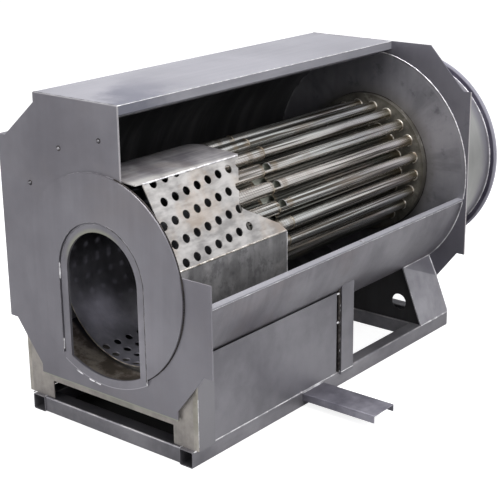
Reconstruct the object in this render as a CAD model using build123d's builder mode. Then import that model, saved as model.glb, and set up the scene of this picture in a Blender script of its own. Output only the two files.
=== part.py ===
from build123d import *
from math import acos, atan2, cos, degrees, hypot, radians, sin, sqrt
import os

# Horizontal fire-tube boiler shown cut away on a base frame, millimetres, Z up.
# The fire door faces -Y, the smokebox drum faces +Y and the cut-away side faces +X.

# Overall frame of the body
body_width = 1270
body_length = 2090
plate_t = 8
plate_top = 1565
plate_bottom = 208
corner_drop = 222
corner_rise = 247
corner_step = 46
cover_t = 4
lip_depth = 41
corner_top = plate_top - corner_drop
corner_bottom = plate_bottom + corner_rise
top_half = 0.301 * body_width
bottom_half = 0.34 * body_width
cut_x = 0.11 * body_width

# Pressure shell and the flange on its cut rim
shell_gap = 10
shell_t = 8
shell_rise = 47
rim_width = 38
shell_r = body_width / 2 - shell_gap
shell_z = plate_bottom + shell_rise + shell_r
shell_cut_x = 0.055 * body_width
rim_z = shell_z - 0.197 * shell_r
cut_z = shell_z - 3

# Fire door and the disc around it
ring_t = 12
ring_lap = 10
ring_r = 0.778 * shell_r
door_z = shell_z - 0.179 * shell_r
door_half = 0.422 * shell_r
door_foot_r = 0.824 * shell_r
door_gap = 5
door_wall = 41
door_t = 5

# Smokebox drum and tubes
drum_r = 0.84 * shell_r
drum_z = shell_z - 8
drum_length = 434
flange_width = 39
flange_r = drum_r + flange_width
flange_t = 12
tube_z = shell_z + 5
tube_plate_r = 0.614 * shell_r
tube_plate_t = 35
tube_plate_lap = 29
outer_ring_r = 0.515 * shell_r
outer_count = 21
inner_ring_r = 0.352 * shell_r
inner_count = 15
tube_od = 57
tube_wall = 4
sleeve_od = 68
sleeve_shift = 4
sleeve_length = 375
sleeve_short = 275
notch_length = 55
notch_facing = 95
inner_notch = 95
whole_tubes = 9

# Firebox around the front of the tubes
box_slope = 60.2
sheet_t = 5
sheet_front = 50
sheet_width = 405
sheet_top_length = 637
sheet_low_reach = 109
sheet_low_length = sheet_top_length + sheet_low_reach
hole_d = 42
hole_pitch = 76.6
hole_rise = 8.7
hole_row = 89.5
hole_skew = 18.2
hole_first = 80
hole_top = 100
crown_t = 6
crown_r = outer_ring_r + sleeve_od / 2 + 1
box_half = 0.675 * shell_r
front_plate_y = 560
front_plate_t = 12

# Perforated combustion drum behind the door
liner_r = 0.64 * shell_r
liner_gap = 61
liner_z = shell_z - shell_r + liner_gap + liner_r
liner_t = 6
liner_front = 132
liner_hole_d = 38
liner_edge = 29
liner_rows = 6
liner_row_angle = 9.6
cradle_t = 8
cradle_half = 0.4 * shell_r

# Base frame
rail_size = 80
rail_wall = 5
rail_inset = 123
rail_outer = body_width / 2 - rail_inset
rail_overhang = 60
rail_length = body_length + rail_overhang
beam_inset = 5
rear_bay = 215
rear_beam_y = body_length - rear_bay
skirt_t = 5
skirt_front_y = 20
skirt_back_y = 0.515 * body_length
skirt_top = 506
slot_half = 0.752 * rail_outer
slot_top = 170
corner_lap = 9
corner_width = 29
corner_left = 27
corner_depth = 110
corner_round = 14
post_t = 12
post_width = 102
post_gap = 27
post_drop = 15
saddle_front = rear_beam_y
saddle_t = 9
saddle_front_lean = 0.401
saddle_rear_lean = 0.188
saddle_front_bend = 304
saddle_rear_bend = 223
saddle_head = 339
saddle_toe = 19
web_inset = 10
web_hole_x = 0.7 * rail_outer
web_hole_z = 183
web_hole_r = 45
outrigger_front = 798
outrigger_width = 170
outrigger_reach = 410
outrigger_top = 72
outrigger_depth = 37
outrigger_t = 6

# Derived stations along the boiler
total_length = ring_t + body_length + plate_t + drum_length + flange_t
y_front = ring_t - total_length / 2
inner_length = body_length - plate_t
tube_end = body_length - tube_plate_t
tube_bore = tube_od - 2 * tube_wall
tube_start = front_plate_y + front_plate_t
shell_in = shell_r - shell_t
half_width = body_width / 2

os.makedirs("parts", exist_ok=True)


def section(station):
    """Cross plane at a distance behind the front face, seen from the front."""
    return Plane(origin=(0, y_front + station, 0), x_dir=(1, 0, 0), z_dir=(0, -1, 0))


def body_outline(stepped=True):
    """Corner points of the end plates; each sloping corner has a step, the upper right may not."""
    bottom = [
        (bottom_half, plate_bottom),
        (bottom_half, plate_bottom + corner_step),
        (half_width - corner_step, corner_bottom),
        (half_width, corner_bottom),
    ]
    top = [
        (half_width, corner_top),
        (half_width - corner_step, corner_top),
        (top_half, plate_top - corner_step),
        (top_half, plate_top),
    ]
    left = [(-x, z) for x, z in reversed(bottom + top)]
    if not stepped:
        top.pop(2)
    return bottom + top + left


def arch_sketch(plane, half, foot_r):
    """Arched door shape: round head, straight jambs and a foot rounded about the disc centre."""
    with BuildSketch(plane) as sketch:
        with Locations((0, door_z)):
            Circle(foot_r)
        with Locations((0, door_z)):
            Rectangle(2 * half, 2 * foot_r, align=(Align.CENTER, Align.MAX), mode=Mode.INTERSECT)
        with Locations((0, door_z)):
            Circle(half)
    return sketch.sketch


def round_bar(station, length, radius, centre_z, bore=0):
    """Tube or ring about an axis along the boiler."""
    with BuildPart() as bar:
        with BuildSketch(section(station)):
            with Locations((0, centre_z)):
                Circle(radius)
                if bore:
                    Circle(bore, mode=Mode.SUBTRACT)
        extrude(amount=-length)
    return bar.part


door_in = door_half - door_gap - door_wall
foot_in = door_foot_r - door_gap - door_wall

shell_core = round_bar(0, body_length, shell_r, shell_z)
shell_hollow = round_bar(0, body_length, shell_in, shell_z)
liner_core = round_bar(0, body_length, liner_r, liner_z)

# Front plate with the upper right quarter cut away beside the disc
with BuildPart() as front_plate:
    with BuildSketch(section(0)):
        with BuildLine():
            Polyline(*body_outline(), close=True)
        make_face()
        with Locations((cut_x, cut_z)):
            Rectangle(body_width, body_width, align=(Align.MIN, Align.MIN), mode=Mode.SUBTRACT)
        with Locations((0, door_z)):
            Circle(ring_r - ring_lap)
        add(arch_sketch(Plane.XY, door_in, foot_in), mode=Mode.SUBTRACT)
    extrude(amount=-plate_t)
front_plate.part.label = "front_plate"
export_step(front_plate.part, "parts/front_plate.step")

# Disc round the fire door
with BuildPart() as front_ring:
    with BuildSketch(section(-ring_t)):
        with Locations((0, door_z)):
            Circle(ring_r)
        add(arch_sketch(Plane.XY, door_half, door_foot_r), mode=Mode.SUBTRACT)
    extrude(amount=-ring_t)
front_ring.part.label = "front_ring"
export_step(front_ring.part, "parts/front_ring.step")

# Arched door frame, set a little back inside the disc
with BuildPart() as door_frame:
    with BuildSketch(section(-door_t)):
        add(arch_sketch(Plane.XY, door_half - door_gap, door_foot_r - door_gap))
        add(arch_sketch(Plane.XY, door_in, foot_in), mode=Mode.SUBTRACT)
    extrude(amount=-door_t)
door_frame.part.label = "door_frame"
export_step(door_frame.part, "parts/door_frame.step")

# Flat top cover with a lip on both long edges
with BuildPart() as top_cover:
    with BuildSketch(section(plate_t)):
        with Locations((-top_half, plate_top)):
            Rectangle(top_half + cut_x, cover_t, align=(Align.MIN, Align.MAX))
            Rectangle(cover_t, corner_step, align=(Align.MIN, Align.MAX))
        with Locations((cut_x, plate_top)):
            Rectangle(cover_t, lip_depth, align=(Align.MAX, Align.MAX))
    extrude(amount=-inner_length)
top_cover.part.label = "top_cover"
export_step(top_cover.part, "parts/top_cover.step")

# Flat side cover on the whole side
with BuildPart() as side_cover:
    with BuildSketch(section(plate_t)):
        with Locations((-half_width, corner_bottom)):
            Rectangle(cover_t, corner_top - corner_bottom, align=(Align.MIN, Align.MIN))
            Rectangle(corner_step, cover_t, align=(Align.MIN, Align.MIN))
        with Locations((-half_width, corner_top)):
            Rectangle(corner_step, cover_t, align=(Align.MIN, Align.MAX))
    extrude(amount=-inner_length)
    add(shell_core, mode=Mode.SUBTRACT)
side_cover.part.label = "side_cover"
export_step(side_cover.part, "parts/side_cover.step")

# Upper half of the shell, open from the top centre to the right
with BuildPart() as shell_upper:
    with BuildSketch(section(plate_t)):
        with Locations((0, shell_z)):
            Circle(shell_r)
            Circle(shell_in, mode=Mode.SUBTRACT)
        with Locations((0, rim_z)):
            Rectangle(4 * shell_r, 2 * shell_r, align=(Align.CENTER, Align.MAX), mode=Mode.SUBTRACT)
        with Locations((shell_cut_x, rim_z)):
            Rectangle(shell_r, 2 * shell_r, align=(Align.MIN, Align.MIN), mode=Mode.SUBTRACT)
    extrude(amount=-inner_length)
shell_upper.part.label = "shell_upper"
export_step(shell_upper.part, "parts/shell_upper.step")

# Lower half of the shell, a trough
with BuildPart() as shell_lower:
    with BuildSketch(section(plate_t)):
        with Locations((0, shell_z)):
            Circle(shell_r)
            Circle(shell_in, mode=Mode.SUBTRACT)
        with Locations((0, rim_z)):
            Rectangle(4 * shell_r, 2 * shell_r, align=(Align.CENTER, Align.MIN), mode=Mode.SUBTRACT)
    extrude(amount=-inner_length)
shell_lower.part.label = "shell_lower"
export_step(shell_lower.part, "parts/shell_lower.step")

# Flat flange along the cut rim of the trough
rim_outer = sqrt(shell_r**2 - (shell_z - rim_z) ** 2) + 3
with BuildPart() as rim_flange:
    with BuildSketch(section(plate_t)):
        with Locations((rim_outer, rim_z)):
            Rectangle(rim_width, shell_t, align=(Align.MAX, Align.MIN))
    extrude(amount=-inner_length)
rim_flange.part.label = "rim_flange"
export_step(rim_flange.part, "parts/rim_flange.step")

# Rear plate with a bore inside the tube plate
with BuildPart() as rear_plate:
    with BuildSketch(section(body_length)):
        with BuildLine():
            Polyline(*body_outline(stepped=False), close=True)
        make_face()
        with Locations((0, tube_z)):
            Circle(tube_plate_r - tube_plate_lap, mode=Mode.SUBTRACT)
    extrude(amount=-plate_t)
rear_plate.part.label = "rear_plate"
export_step(rear_plate.part, "parts/rear_plate.step")

# Places of the fire tubes round their common centre
outer_step = 360 / outer_count
inner_step = 360 / inner_count
outer_angles = [90 + outer_step / 2 - outer_step * i for i in range(outer_count)]
inner_angles = [90 - inner_step * i for i in range(inner_count)]


def tube_place(ring, angle):
    """Centre of a tube in the cross plane."""
    return (ring * cos(radians(angle)), tube_z + ring * sin(radians(angle)))


tube_places = [tube_place(outer_ring_r, a) for a in outer_angles]
tube_places += [tube_place(inner_ring_r, a) for a in inner_angles]

# Rear tube plate, drilled for every tube
with BuildPart() as rear_tube_plate:
    with BuildSketch(section(tube_end)):
        with Locations((0, tube_z)):
            Circle(tube_plate_r)
        with Locations(*tube_places):
            Circle(tube_bore / 2, mode=Mode.SUBTRACT)
    extrude(amount=-tube_plate_t)
rear_tube_plate.part.label = "rear_tube_plate"
export_step(rear_tube_plate.part, "parts/rear_tube_plate.step")

# Smokebox drum and its end flange
smokebox_drum = round_bar(body_length + plate_t, drum_length, drum_r, drum_z, drum_r - shell_t)
smokebox_drum.label = "smokebox_drum"
export_step(smokebox_drum, "parts/smokebox_drum.step")

smokebox_flange = round_bar(
    body_length + plate_t + drum_length, flange_t, flange_r, drum_z, drum_r - shell_t
)
smokebox_flange.label = "smokebox_flange"
export_step(smokebox_flange, "parts/smokebox_flange.step")

# Profile of the firebox: a sloping flat on the right, tangent to the round crown
flat_out = crown_r + crown_t
nx = sin(radians(box_slope))
nz = cos(radians(box_slope))
foot_x = box_half
foot_z = tube_z + (flat_out - nx * box_half) / nz
peak_x = foot_x - nz * sheet_width
peak_z = foot_z + nx * sheet_width
peak_r = hypot(peak_x, peak_z - tube_z)
peak_angle = degrees(atan2(peak_z - tube_z, peak_x))
touch_angle = peak_angle + degrees(acos(crown_r / peak_r))
left_angle = 180 - (90 - box_slope)


def on_crown(radius, angle):
    """Point on the round of the crown."""
    return (radius * cos(radians(angle)), tube_z + radius * sin(radians(angle)))


# Crown of the firebox: flat from the right edge, then round down the left
with BuildPart() as firebox_crown:
    with BuildSketch(section(plate_t)):
        with BuildLine():
            inner_a = on_crown(crown_r, touch_angle)
            inner_b = on_crown(crown_r, (touch_angle + left_angle) / 2)
            inner_c = on_crown(crown_r, left_angle)
            outer_a = on_crown(flat_out, touch_angle)
            outer_b = on_crown(flat_out, (touch_angle + left_angle) / 2)
            outer_c = on_crown(flat_out, left_angle)
            edge_low = (peak_x, peak_z)
            edge_high = (
                peak_x + crown_t * cos(radians(touch_angle)),
                peak_z + crown_t * sin(radians(touch_angle)),
            )
            Line(edge_low, inner_a)
            ThreePointArc(inner_a, inner_b, inner_c)
            Line(inner_c, outer_c)
            ThreePointArc(outer_c, outer_b, outer_a)
            Line(outer_a, edge_high)
            Line(edge_high, edge_low)
        make_face()
    extrude(amount=-(sheet_front + sheet_top_length - plate_t))
firebox_crown.part.label = "firebox_crown"
export_step(firebox_crown.part, "parts/firebox_crown.step")

# Perforated sheet on the sloping flat, with its rear edge cut through the holes
slope_plane = Plane(
    origin=(foot_x, y_front + sheet_front, foot_z), x_dir=(0, 1, 0), z_dir=(nx, 0, nz)
)
notch_low = sheet_width - 2.45 * hole_row
notch_point = notch_low - 0.27 * hole_row
sheet_points = [
    (0, 0),
    (0, sheet_width),
    (sheet_top_length, sheet_width),
    (sheet_top_length - 3 * hole_d, notch_low),
    (sheet_top_length - 2.6 * hole_d, notch_point),
    (sheet_top_length + 1.8 * hole_d, 0.11 * sheet_width),
    (sheet_low_length, 0),
]
hole_places = []
for row in range(5):
    row_end = sheet_low_length - (1.9 if row < 3 else 4.9) * hole_d
    for column in range(-2, 8):
        along = hole_first + hole_pitch * column + hole_skew * (row - 1)
        down = hole_top - hole_rise * column + hole_row * (row - 1)
        if along > hole_d / 5 and along < row_end:
            hole_places.append((along, sheet_width - down))
with BuildPart() as firebox_sheet:
    with BuildSketch(slope_plane):
        with BuildLine():
            Polyline(*sheet_points, close=True)
        make_face()
        with Locations(*hole_places):
            Circle(hole_d / 2, mode=Mode.SUBTRACT)
    extrude(amount=-sheet_t)
firebox_sheet.part.label = "firebox_sheet"
export_step(firebox_sheet.part, "parts/firebox_sheet.step")

# Plain sloping sheet on the left, below the crown
left_c = on_crown(flat_out, left_angle)
left_slope = hypot(box_half - abs(left_c[0]), foot_z - left_c[1])
with BuildPart() as firebox_slope:
    with BuildSketch(Plane(origin=(-foot_x, y_front + plate_t, foot_z), x_dir=(0, 1, 0),
                           z_dir=(-nx, 0, nz))):
        Rectangle(sheet_front + sheet_top_length - plate_t, left_slope,
                  align=(Align.MIN, Align.MAX))
    extrude(amount=-sheet_t)
firebox_slope.part.label = "firebox_slope"
export_step(firebox_slope.part, "parts/firebox_slope.step")

# Upright side plates of the firebox, down to the shell
for name, side, start, length in (
    ("firebox_side_right", 1, sheet_front, sheet_low_length),
    ("firebox_side_left", -1, plate_t, sheet_front + sheet_low_length - plate_t),
):
    with BuildPart() as firebox_side:
        with BuildSketch(section(start)):
            with Locations((side * (box_half - sheet_t / 2), foot_z)):
                Rectangle(sheet_t, shell_r, align=(Align.CENTER, Align.MAX))
        extrude(amount=-length)
        add(shell_hollow, mode=Mode.INTERSECT)
        add(firebox_sheet.part, mode=Mode.SUBTRACT)
        add(firebox_slope.part, mode=Mode.SUBTRACT)
    firebox_side.part.label = name
    export_step(firebox_side.part, "parts/" + name + ".step")

# Front tube plate across the firebox
with BuildPart() as front_tube_plate:
    with BuildSketch(section(front_plate_y)):
        with BuildLine():
            low = foot_z - shell_r
            in_x = box_half - sheet_t
            in_foot = foot_z
            right_in = (in_x, in_foot)
            top_in = (peak_x - sheet_t * nx, peak_z - sheet_t * nz)
            left_in = on_crown(crown_r, left_angle)
            left_low = (-in_x, in_foot)
            Polyline((in_x, low), right_in, top_in, inner_a)
            ThreePointArc(inner_a, inner_b, left_in)
            Polyline(left_in, left_low, (-in_x, low), (in_x, low))
        make_face()
        with Locations(*tube_places):
            Circle(tube_bore / 2, mode=Mode.SUBTRACT)
    extrude(amount=-front_plate_t)
    add(shell_hollow, mode=Mode.INTERSECT)
    add(firebox_sheet.part, mode=Mode.SUBTRACT)
    add(firebox_slope.part, mode=Mode.SUBTRACT)
front_tube_plate.part.label = "front_tube_plate"
export_step(front_tube_plate.part, "parts/front_tube_plate.step")

# Perforated combustion drum seen through the fire door
liner_length = front_plate_y - liner_front
liner_columns = int(liner_length / hole_pitch)
with BuildPart() as combustion_drum:
    add(round_bar(liner_front, liner_length, liner_r, liner_z, liner_r - liner_t))
    for column in range(liner_columns):
        station = liner_front + liner_edge + column * hole_pitch
        for row in range(liner_rows):
            angle = radians(270 + liner_row_angle * (row - (liner_rows - 1) / 2))
            spot = Plane(
                origin=(0, y_front + station, liner_z),
                x_dir=(0, 1, 0),
                z_dir=(cos(angle), 0, sin(angle)),
            )
            with BuildSketch(spot):
                Circle(liner_hole_d / 2)
            extrude(amount=liner_r + liner_t, mode=Mode.SUBTRACT)
combustion_drum.part.label = "combustion_drum"
export_step(combustion_drum.part, "parts/combustion_drum.step")

# Cradles that carry the drum on the shell
for name, station in (("drum_cradle_front", 200), ("drum_cradle_rear", 500)):
    with BuildPart() as cradle:
        with BuildSketch(section(station)):
            with Locations((0, shell_z - shell_r)):
                Rectangle(2 * cradle_half, cradle_half, align=(Align.CENTER, Align.MIN))
        extrude(amount=-cradle_t)
        add(shell_hollow, mode=Mode.INTERSECT)
        add(liner_core, mode=Mode.SUBTRACT)
    cradle.part.label = name
    export_step(cradle.part, "parts/" + name + ".step")


def fire_tube(ring, angle, sleeve=0, notch_start=0, notch=0, facing=0):
    """Fire tube between the tube plates, sleeved at the front and cut open where notched."""
    centre = tube_place(ring, angle)
    with BuildPart() as tube:
        with BuildSketch(section(tube_start)):
            with Locations(centre):
                Circle(tube_od / 2)
        extrude(amount=tube_start - tube_end)
        if sleeve:
            with BuildSketch(section(tube_start)):
                with Locations(tube_place(ring - sleeve_shift, angle)):
                    Circle(sleeve_od / 2)
            extrude(amount=-sleeve)
        with BuildSketch(section(tube_start)):
            with Locations(centre):
                Circle(tube_bore / 2)
        extrude(amount=tube_start - tube_end, mode=Mode.SUBTRACT)
        if notch:
            with BuildSketch(section(tube_start + notch_start)):
                with Locations(centre):
                    Rectangle(sleeve_od, sleeve_od, rotation=facing,
                              align=(Align.MIN, Align.CENTER))
            extrude(amount=-notch, mode=Mode.SUBTRACT)
    return tube.part


# Outer ring of tubes: the nine beside the opening one by one, the lower ones together
for i in range(whole_tubes):
    if i in (3, 4, 5):
        outer_tube = fire_tube(
            outer_ring_r, outer_angles[i], sleeve_short, sleeve_short, notch_length,
            notch_facing,
        )
    else:
        outer_tube = fire_tube(outer_ring_r, outer_angles[i], sleeve_length)
    outer_tube.label = "outer_tube_" + str(i + 1)
    export_step(outer_tube, "parts/" + outer_tube.label + ".step")

lower_tubes = Compound(
    children=[fire_tube(outer_ring_r, a) for a in outer_angles[whole_tubes:]]
)
lower_tubes.label = "outer_tubes_lower"
export_step(lower_tubes, "parts/outer_tubes_lower.step")

# Inner ring, with three tubes cut open where the outer ones are
inner_parts = []
for i in range(inner_count):
    if i in (2, 3, 4):
        inner_parts.append(
            fire_tube(inner_ring_r, inner_angles[i], 0, sleeve_short, inner_notch,
                      inner_angles[i])
        )
    else:
        inner_parts.append(fire_tube(inner_ring_r, inner_angles[i]))
inner_tubes = Compound(children=inner_parts)
inner_tubes.label = "inner_tubes"
export_step(inner_tubes, "parts/inner_tubes.step")

# Long rails of hollow section, open at the ends
for name, side in (("rail_right", 1), ("rail_left", -1)):
    with BuildPart() as rail:
        with BuildSketch(section(0)):
            with Locations((side * (rail_outer - rail_size / 2), rail_size / 2)):
                RectangleRounded(rail_size, rail_size, 2 * rail_wall)
                RectangleRounded(rail_size - 2 * rail_wall, rail_size - 2 * rail_wall, rail_wall,
                                 mode=Mode.SUBTRACT)
        extrude(amount=-rail_length)
    rail.part.label = name
    export_step(rail.part, "parts/" + name + ".step")

# Cross beams between the rails
beam_length = 2 * (rail_outer - rail_size)
for name, station in (
    ("front_beam", beam_inset),
    ("rear_beam", rear_beam_y),
    ("end_beam", rail_length - rail_size),
):
    with BuildPart() as beam:
        with BuildSketch(Plane(origin=(-beam_length / 2, y_front + station + rail_size / 2,
                                       rail_size / 2), x_dir=(0, 1, 0), z_dir=(1, 0, 0))):
            RectangleRounded(rail_size, rail_size, 2 * rail_wall)
            RectangleRounded(rail_size - 2 * rail_wall, rail_size - 2 * rail_wall, rail_wall,
                             mode=Mode.SUBTRACT)
        extrude(amount=beam_length)
    beam.part.label = name
    export_step(beam.part, "parts/" + name + ".step")

# Air box below the shell: front sheet with a slot, back sheet and side panels
corner_in = rail_outer - corner_lap
for name, station, left_edge, slotted in (
    ("skirt_front", skirt_front_y, corner_in + corner_left, True),
    ("skirt_back", skirt_back_y + post_gap - skirt_t, corner_in, False),
):
    with BuildPart() as skirt:
        with BuildSketch(section(station)):
            with Locations((-left_edge, rail_size)):
                Rectangle(left_edge + corner_in, skirt_top - rail_size,
                          align=(Align.MIN, Align.MIN))
            if slotted:
                with Locations((0, rail_size)):
                    Rectangle(2 * slot_half, slot_top - rail_size,
                              align=(Align.CENTER, Align.MIN), mode=Mode.SUBTRACT)
        extrude(amount=-skirt_t)
        add(shell_core, mode=Mode.SUBTRACT)
    body = skirt.part.solids().sort_by(Axis.Z)[0]
    body.label = name
    export_step(body, "parts/" + name + ".step")

panel_front = skirt_front_y + corner_depth
for name, side in (("skirt_right", 1), ("skirt_left", -1)):
    with BuildPart() as panel:
        with BuildSketch(section(panel_front)):
            with Locations((side * (rail_outer - skirt_t / 2), rail_size)):
                Rectangle(skirt_t, skirt_top - rail_size, align=(Align.CENTER, Align.MIN))
        extrude(amount=-(skirt_back_y - panel_front))
        add(shell_core, mode=Mode.SUBTRACT)
    body = panel.part.solids().sort_by(Axis.Z)[0]
    body.label = name
    export_step(body, "parts/" + name + ".step")

# Corner pieces at the front of the air box, rounded outside and proud of the rails
for name, side, inner, outer in (
    ("skirt_corner_right", 1, corner_in, corner_in + corner_width),
    ("skirt_corner_left", -1, corner_in + corner_left, corner_in + 2 * corner_width),
):
    with BuildPart() as corner:
        with BuildSketch(Plane.XY.offset(rail_size)):
            with Locations((side * inner, y_front + skirt_front_y)):
                Rectangle(outer - inner, corner_depth,
                          align=(Align.MIN if side > 0 else Align.MAX, Align.MIN))
            with Locations((side * corner_in, y_front + skirt_front_y + skirt_t)):
                Rectangle(outer - corner_in, corner_depth - skirt_t,
                          align=(Align.MIN if side > 0 else Align.MAX, Align.MIN))
        extrude(amount=skirt_top - rail_size)
        outer_edges = corner.edges().filter_by(Axis.Z).group_by(Axis.X)[-1 if side > 0 else 0]
        fillet(outer_edges.sort_by(Axis.Y)[0], corner_round)
        add(shell_core, mode=Mode.SUBTRACT)
    body = corner.part.solids().sort_by(Axis.Z)[0]
    body.label = name
    export_step(body, "parts/" + name + ".step")

# Flat posts on the outside of the rails, cut to the shell at the top
for name, side in (("post_right", 1), ("post_left", -1)):
    with BuildPart() as post:
        with BuildSketch(section(skirt_back_y + post_gap)):
            with Locations((side * (rail_outer + post_t / 2), rail_size - post_drop)):
                Rectangle(post_t, shell_r, align=(Align.CENTER, Align.MIN))
        extrude(amount=-post_width)
        add(shell_core, mode=Mode.SUBTRACT)
    body = post.part.solids().sort_by(Axis.Z)[0]
    body.label = name
    export_step(body, "parts/" + name + ".step")

# Rear saddle sides: folded plates that lean in less towards the rear
def folded_band(side, *ends):
    """Thin plate between stations; each end gives the outer point below and the one above."""
    with BuildPart() as band:
        for station, low, high in ends:
            corners = [low, high, (high[0] - saddle_t, high[1]), (low[0] - saddle_t, low[1])]
            with BuildSketch(section(station)):
                with BuildLine():
                    Polyline(*[(side * x, z) for x, z in corners], close=True)
                make_face()
        loft(ruled=True)
    return band.part


saddle_foot = (rail_outer, rail_size)
front_bend = (rail_outer - saddle_front_lean * saddle_front_bend, rail_size + saddle_front_bend)
front_head = (rail_outer - saddle_front_lean * saddle_head, rail_size + saddle_head)
rear_bend = (rail_outer - saddle_rear_lean * saddle_rear_bend, rail_size + saddle_rear_bend)
rear_head = (rear_bend[0] - 0.48 * (saddle_head - saddle_rear_bend), rail_size + saddle_head)
toe_head = (rail_outer - saddle_rear_lean * saddle_toe, rail_size + saddle_toe)
for name, side in (("saddle_side_right", 1), ("saddle_side_left", -1)):
    with BuildPart() as saddle:
        add(folded_band(side, (saddle_front, saddle_foot, front_bend),
                        (body_length, saddle_foot, rear_bend)))
        add(folded_band(side, (saddle_front, front_bend, front_head),
                        (body_length, rear_bend, rear_head)))
        add(folded_band(side, (body_length, saddle_foot, rear_bend),
                        (rail_length, saddle_foot, toe_head)))
        add(shell_core, mode=Mode.SUBTRACT)
        add(rear_plate.part, mode=Mode.SUBTRACT)
    body = saddle.part.solids().sort_by(SortBy.VOLUME)[-1]
    body.label = name
    export_step(body, "parts/" + name + ".step")
    if side > 0:
        saddle_right = body

# Cross web of the saddle with two holes
with BuildPart() as saddle_web:
    with BuildSketch(section(saddle_front + web_inset)):
        web_foot = rail_outer - saddle_t
        web_head = web_foot - saddle_front_lean * saddle_head
        with BuildLine():
            Polyline((web_foot + 4, rail_size), (web_head + 12, rail_size + saddle_head),
                     (-web_head - 12, rail_size + saddle_head), (-web_foot - 4, rail_size),
                     close=True)
        make_face()
        with Locations((web_hole_x, web_hole_z), (-web_hole_x, web_hole_z)):
            Circle(web_hole_r, mode=Mode.SUBTRACT)
    extrude(amount=-plate_t)
    add(shell_core, mode=Mode.SUBTRACT)
    add(saddle_right, mode=Mode.SUBTRACT)
    add(mirror(saddle_right, about=Plane.YZ), mode=Mode.SUBTRACT)
body = saddle_web.part.solids().sort_by(SortBy.VOLUME)[-1]
body.label = "saddle_web"
export_step(body, "parts/saddle_web.step")

# Channels that reach out from the rails, open side down, with rounded shoulders
for name, side in (("outrigger_right", 1), ("outrigger_left", -1)):
    with BuildPart() as outrigger:
        with Locations((side * (rail_outer + outrigger_reach / 2),
                        y_front + outrigger_front + outrigger_width / 2, outrigger_top)):
            Box(outrigger_reach, outrigger_width, outrigger_depth,
                align=(Align.CENTER, Align.CENTER, Align.MAX))
        fillet(outrigger.edges().filter_by(Axis.X).group_by(Axis.Z)[-1], outrigger_t)
        with Locations((side * (rail_outer + outrigger_reach / 2),
                        y_front + outrigger_front + outrigger_width / 2,
                        outrigger_top - outrigger_t)):
            Box(outrigger_reach, outrigger_width - 2 * outrigger_t, outrigger_depth,
                align=(Align.CENTER, Align.CENTER, Align.MAX), mode=Mode.SUBTRACT)
    outrigger.part.label = name
    export_step(outrigger.part, "parts/" + name + ".step")
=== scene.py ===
# %% [markdown]
# # An industrial boiler, cut away
#
# The solids of this horizontal fire-tube boiler already exist, in metres and in one shared frame.
# This file gives them their looks: the camera of the photo, a plain white studio, worn and heat
# tinted steel, and the welds, bolts and small edges that a solid model leaves out.

# %% Load the frame and keep its box
from math import cos, pi, radians, sin

import bpy
import numpy as np
from mathutils import Matrix, Vector


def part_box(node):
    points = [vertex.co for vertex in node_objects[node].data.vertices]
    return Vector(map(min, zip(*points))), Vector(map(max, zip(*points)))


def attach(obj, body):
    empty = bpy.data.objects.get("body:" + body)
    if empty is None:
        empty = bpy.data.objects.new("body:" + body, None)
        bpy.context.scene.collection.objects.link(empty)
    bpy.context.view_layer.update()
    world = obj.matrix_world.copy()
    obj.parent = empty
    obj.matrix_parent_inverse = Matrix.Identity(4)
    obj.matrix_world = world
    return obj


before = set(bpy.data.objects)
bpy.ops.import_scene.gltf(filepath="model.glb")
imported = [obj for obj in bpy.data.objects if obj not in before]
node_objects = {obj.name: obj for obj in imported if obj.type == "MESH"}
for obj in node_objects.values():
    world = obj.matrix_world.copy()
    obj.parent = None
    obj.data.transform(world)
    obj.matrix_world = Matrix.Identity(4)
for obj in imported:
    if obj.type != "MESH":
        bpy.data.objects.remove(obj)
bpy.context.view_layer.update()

print("solids loaded:", len(node_objects))

# %% [markdown]
# ## Measures that the looks share
#
# A detail such as a weld sits on the edge of a solid, so its place is read from the boxes of the
# solids where that is possible. Only a few radii and heights are repeated here.

# %% Stations along the boiler, read from the solids
plate_low, plate_high = (Vector(c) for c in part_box("front_plate"))
ring_low, ring_high = (Vector(c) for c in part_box("front_ring"))
rear_low, rear_high = (Vector(c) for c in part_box("rear_plate"))
drum_low, drum_high = (Vector(c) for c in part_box("smokebox_drum"))
tube_plate_low, tube_plate_high = (Vector(c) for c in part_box("rear_tube_plate"))
sheet_low, sheet_high = (Vector(c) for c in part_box("firebox_sheet"))
rail_low, rail_high = (Vector(c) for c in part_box("rail_right"))
panel_low, panel_high = (Vector(c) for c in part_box("skirt_right"))
post_low, post_high = (Vector(c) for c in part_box("post_right"))
saddle_low, saddle_high = (Vector(c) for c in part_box("saddle_side_right"))
rim_low, rim_high = (Vector(c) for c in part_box("rim_flange"))
front_y = plate_low.y
SHELL_Z = 0.880
SHELL_R = 0.625
DISC_Z = 0.768
DISC_R = (ring_high.x - ring_low.x) / 2
DRUM_Z = (drum_low.z + drum_high.z) / 2
DRUM_R = (drum_high.x - drum_low.x) / 2
TUBE_Z = (tube_plate_low.z + tube_plate_high.z) / 2
TUBE_PLATE_R = (tube_plate_high.x - tube_plate_low.x) / 2
TUBE_R = 0.0285
OUTER_RING_R = 0.515 * SHELL_R
INNER_RING_R = 0.352 * SHELL_R
OUTER_COUNT = 21
INNER_COUNT = 15
LINER_Z = 0.716
CUT_X = 0.1397
CUT_Z = 0.877
print("front face at y =", round(front_y, 4), "rear plate at y =", round(rear_low.y, 4))

# %% [markdown]
# ## Shader maths in plain expressions
#
# Every finish below is a small formula over the surface: clouds of grey, streaks, stains near the
# welds. Wiring such a formula node by node hides it, so one class wraps an output socket and lets
# `1 - mask * 0.5` add its Math nodes, and one method adds any other node.

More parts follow.
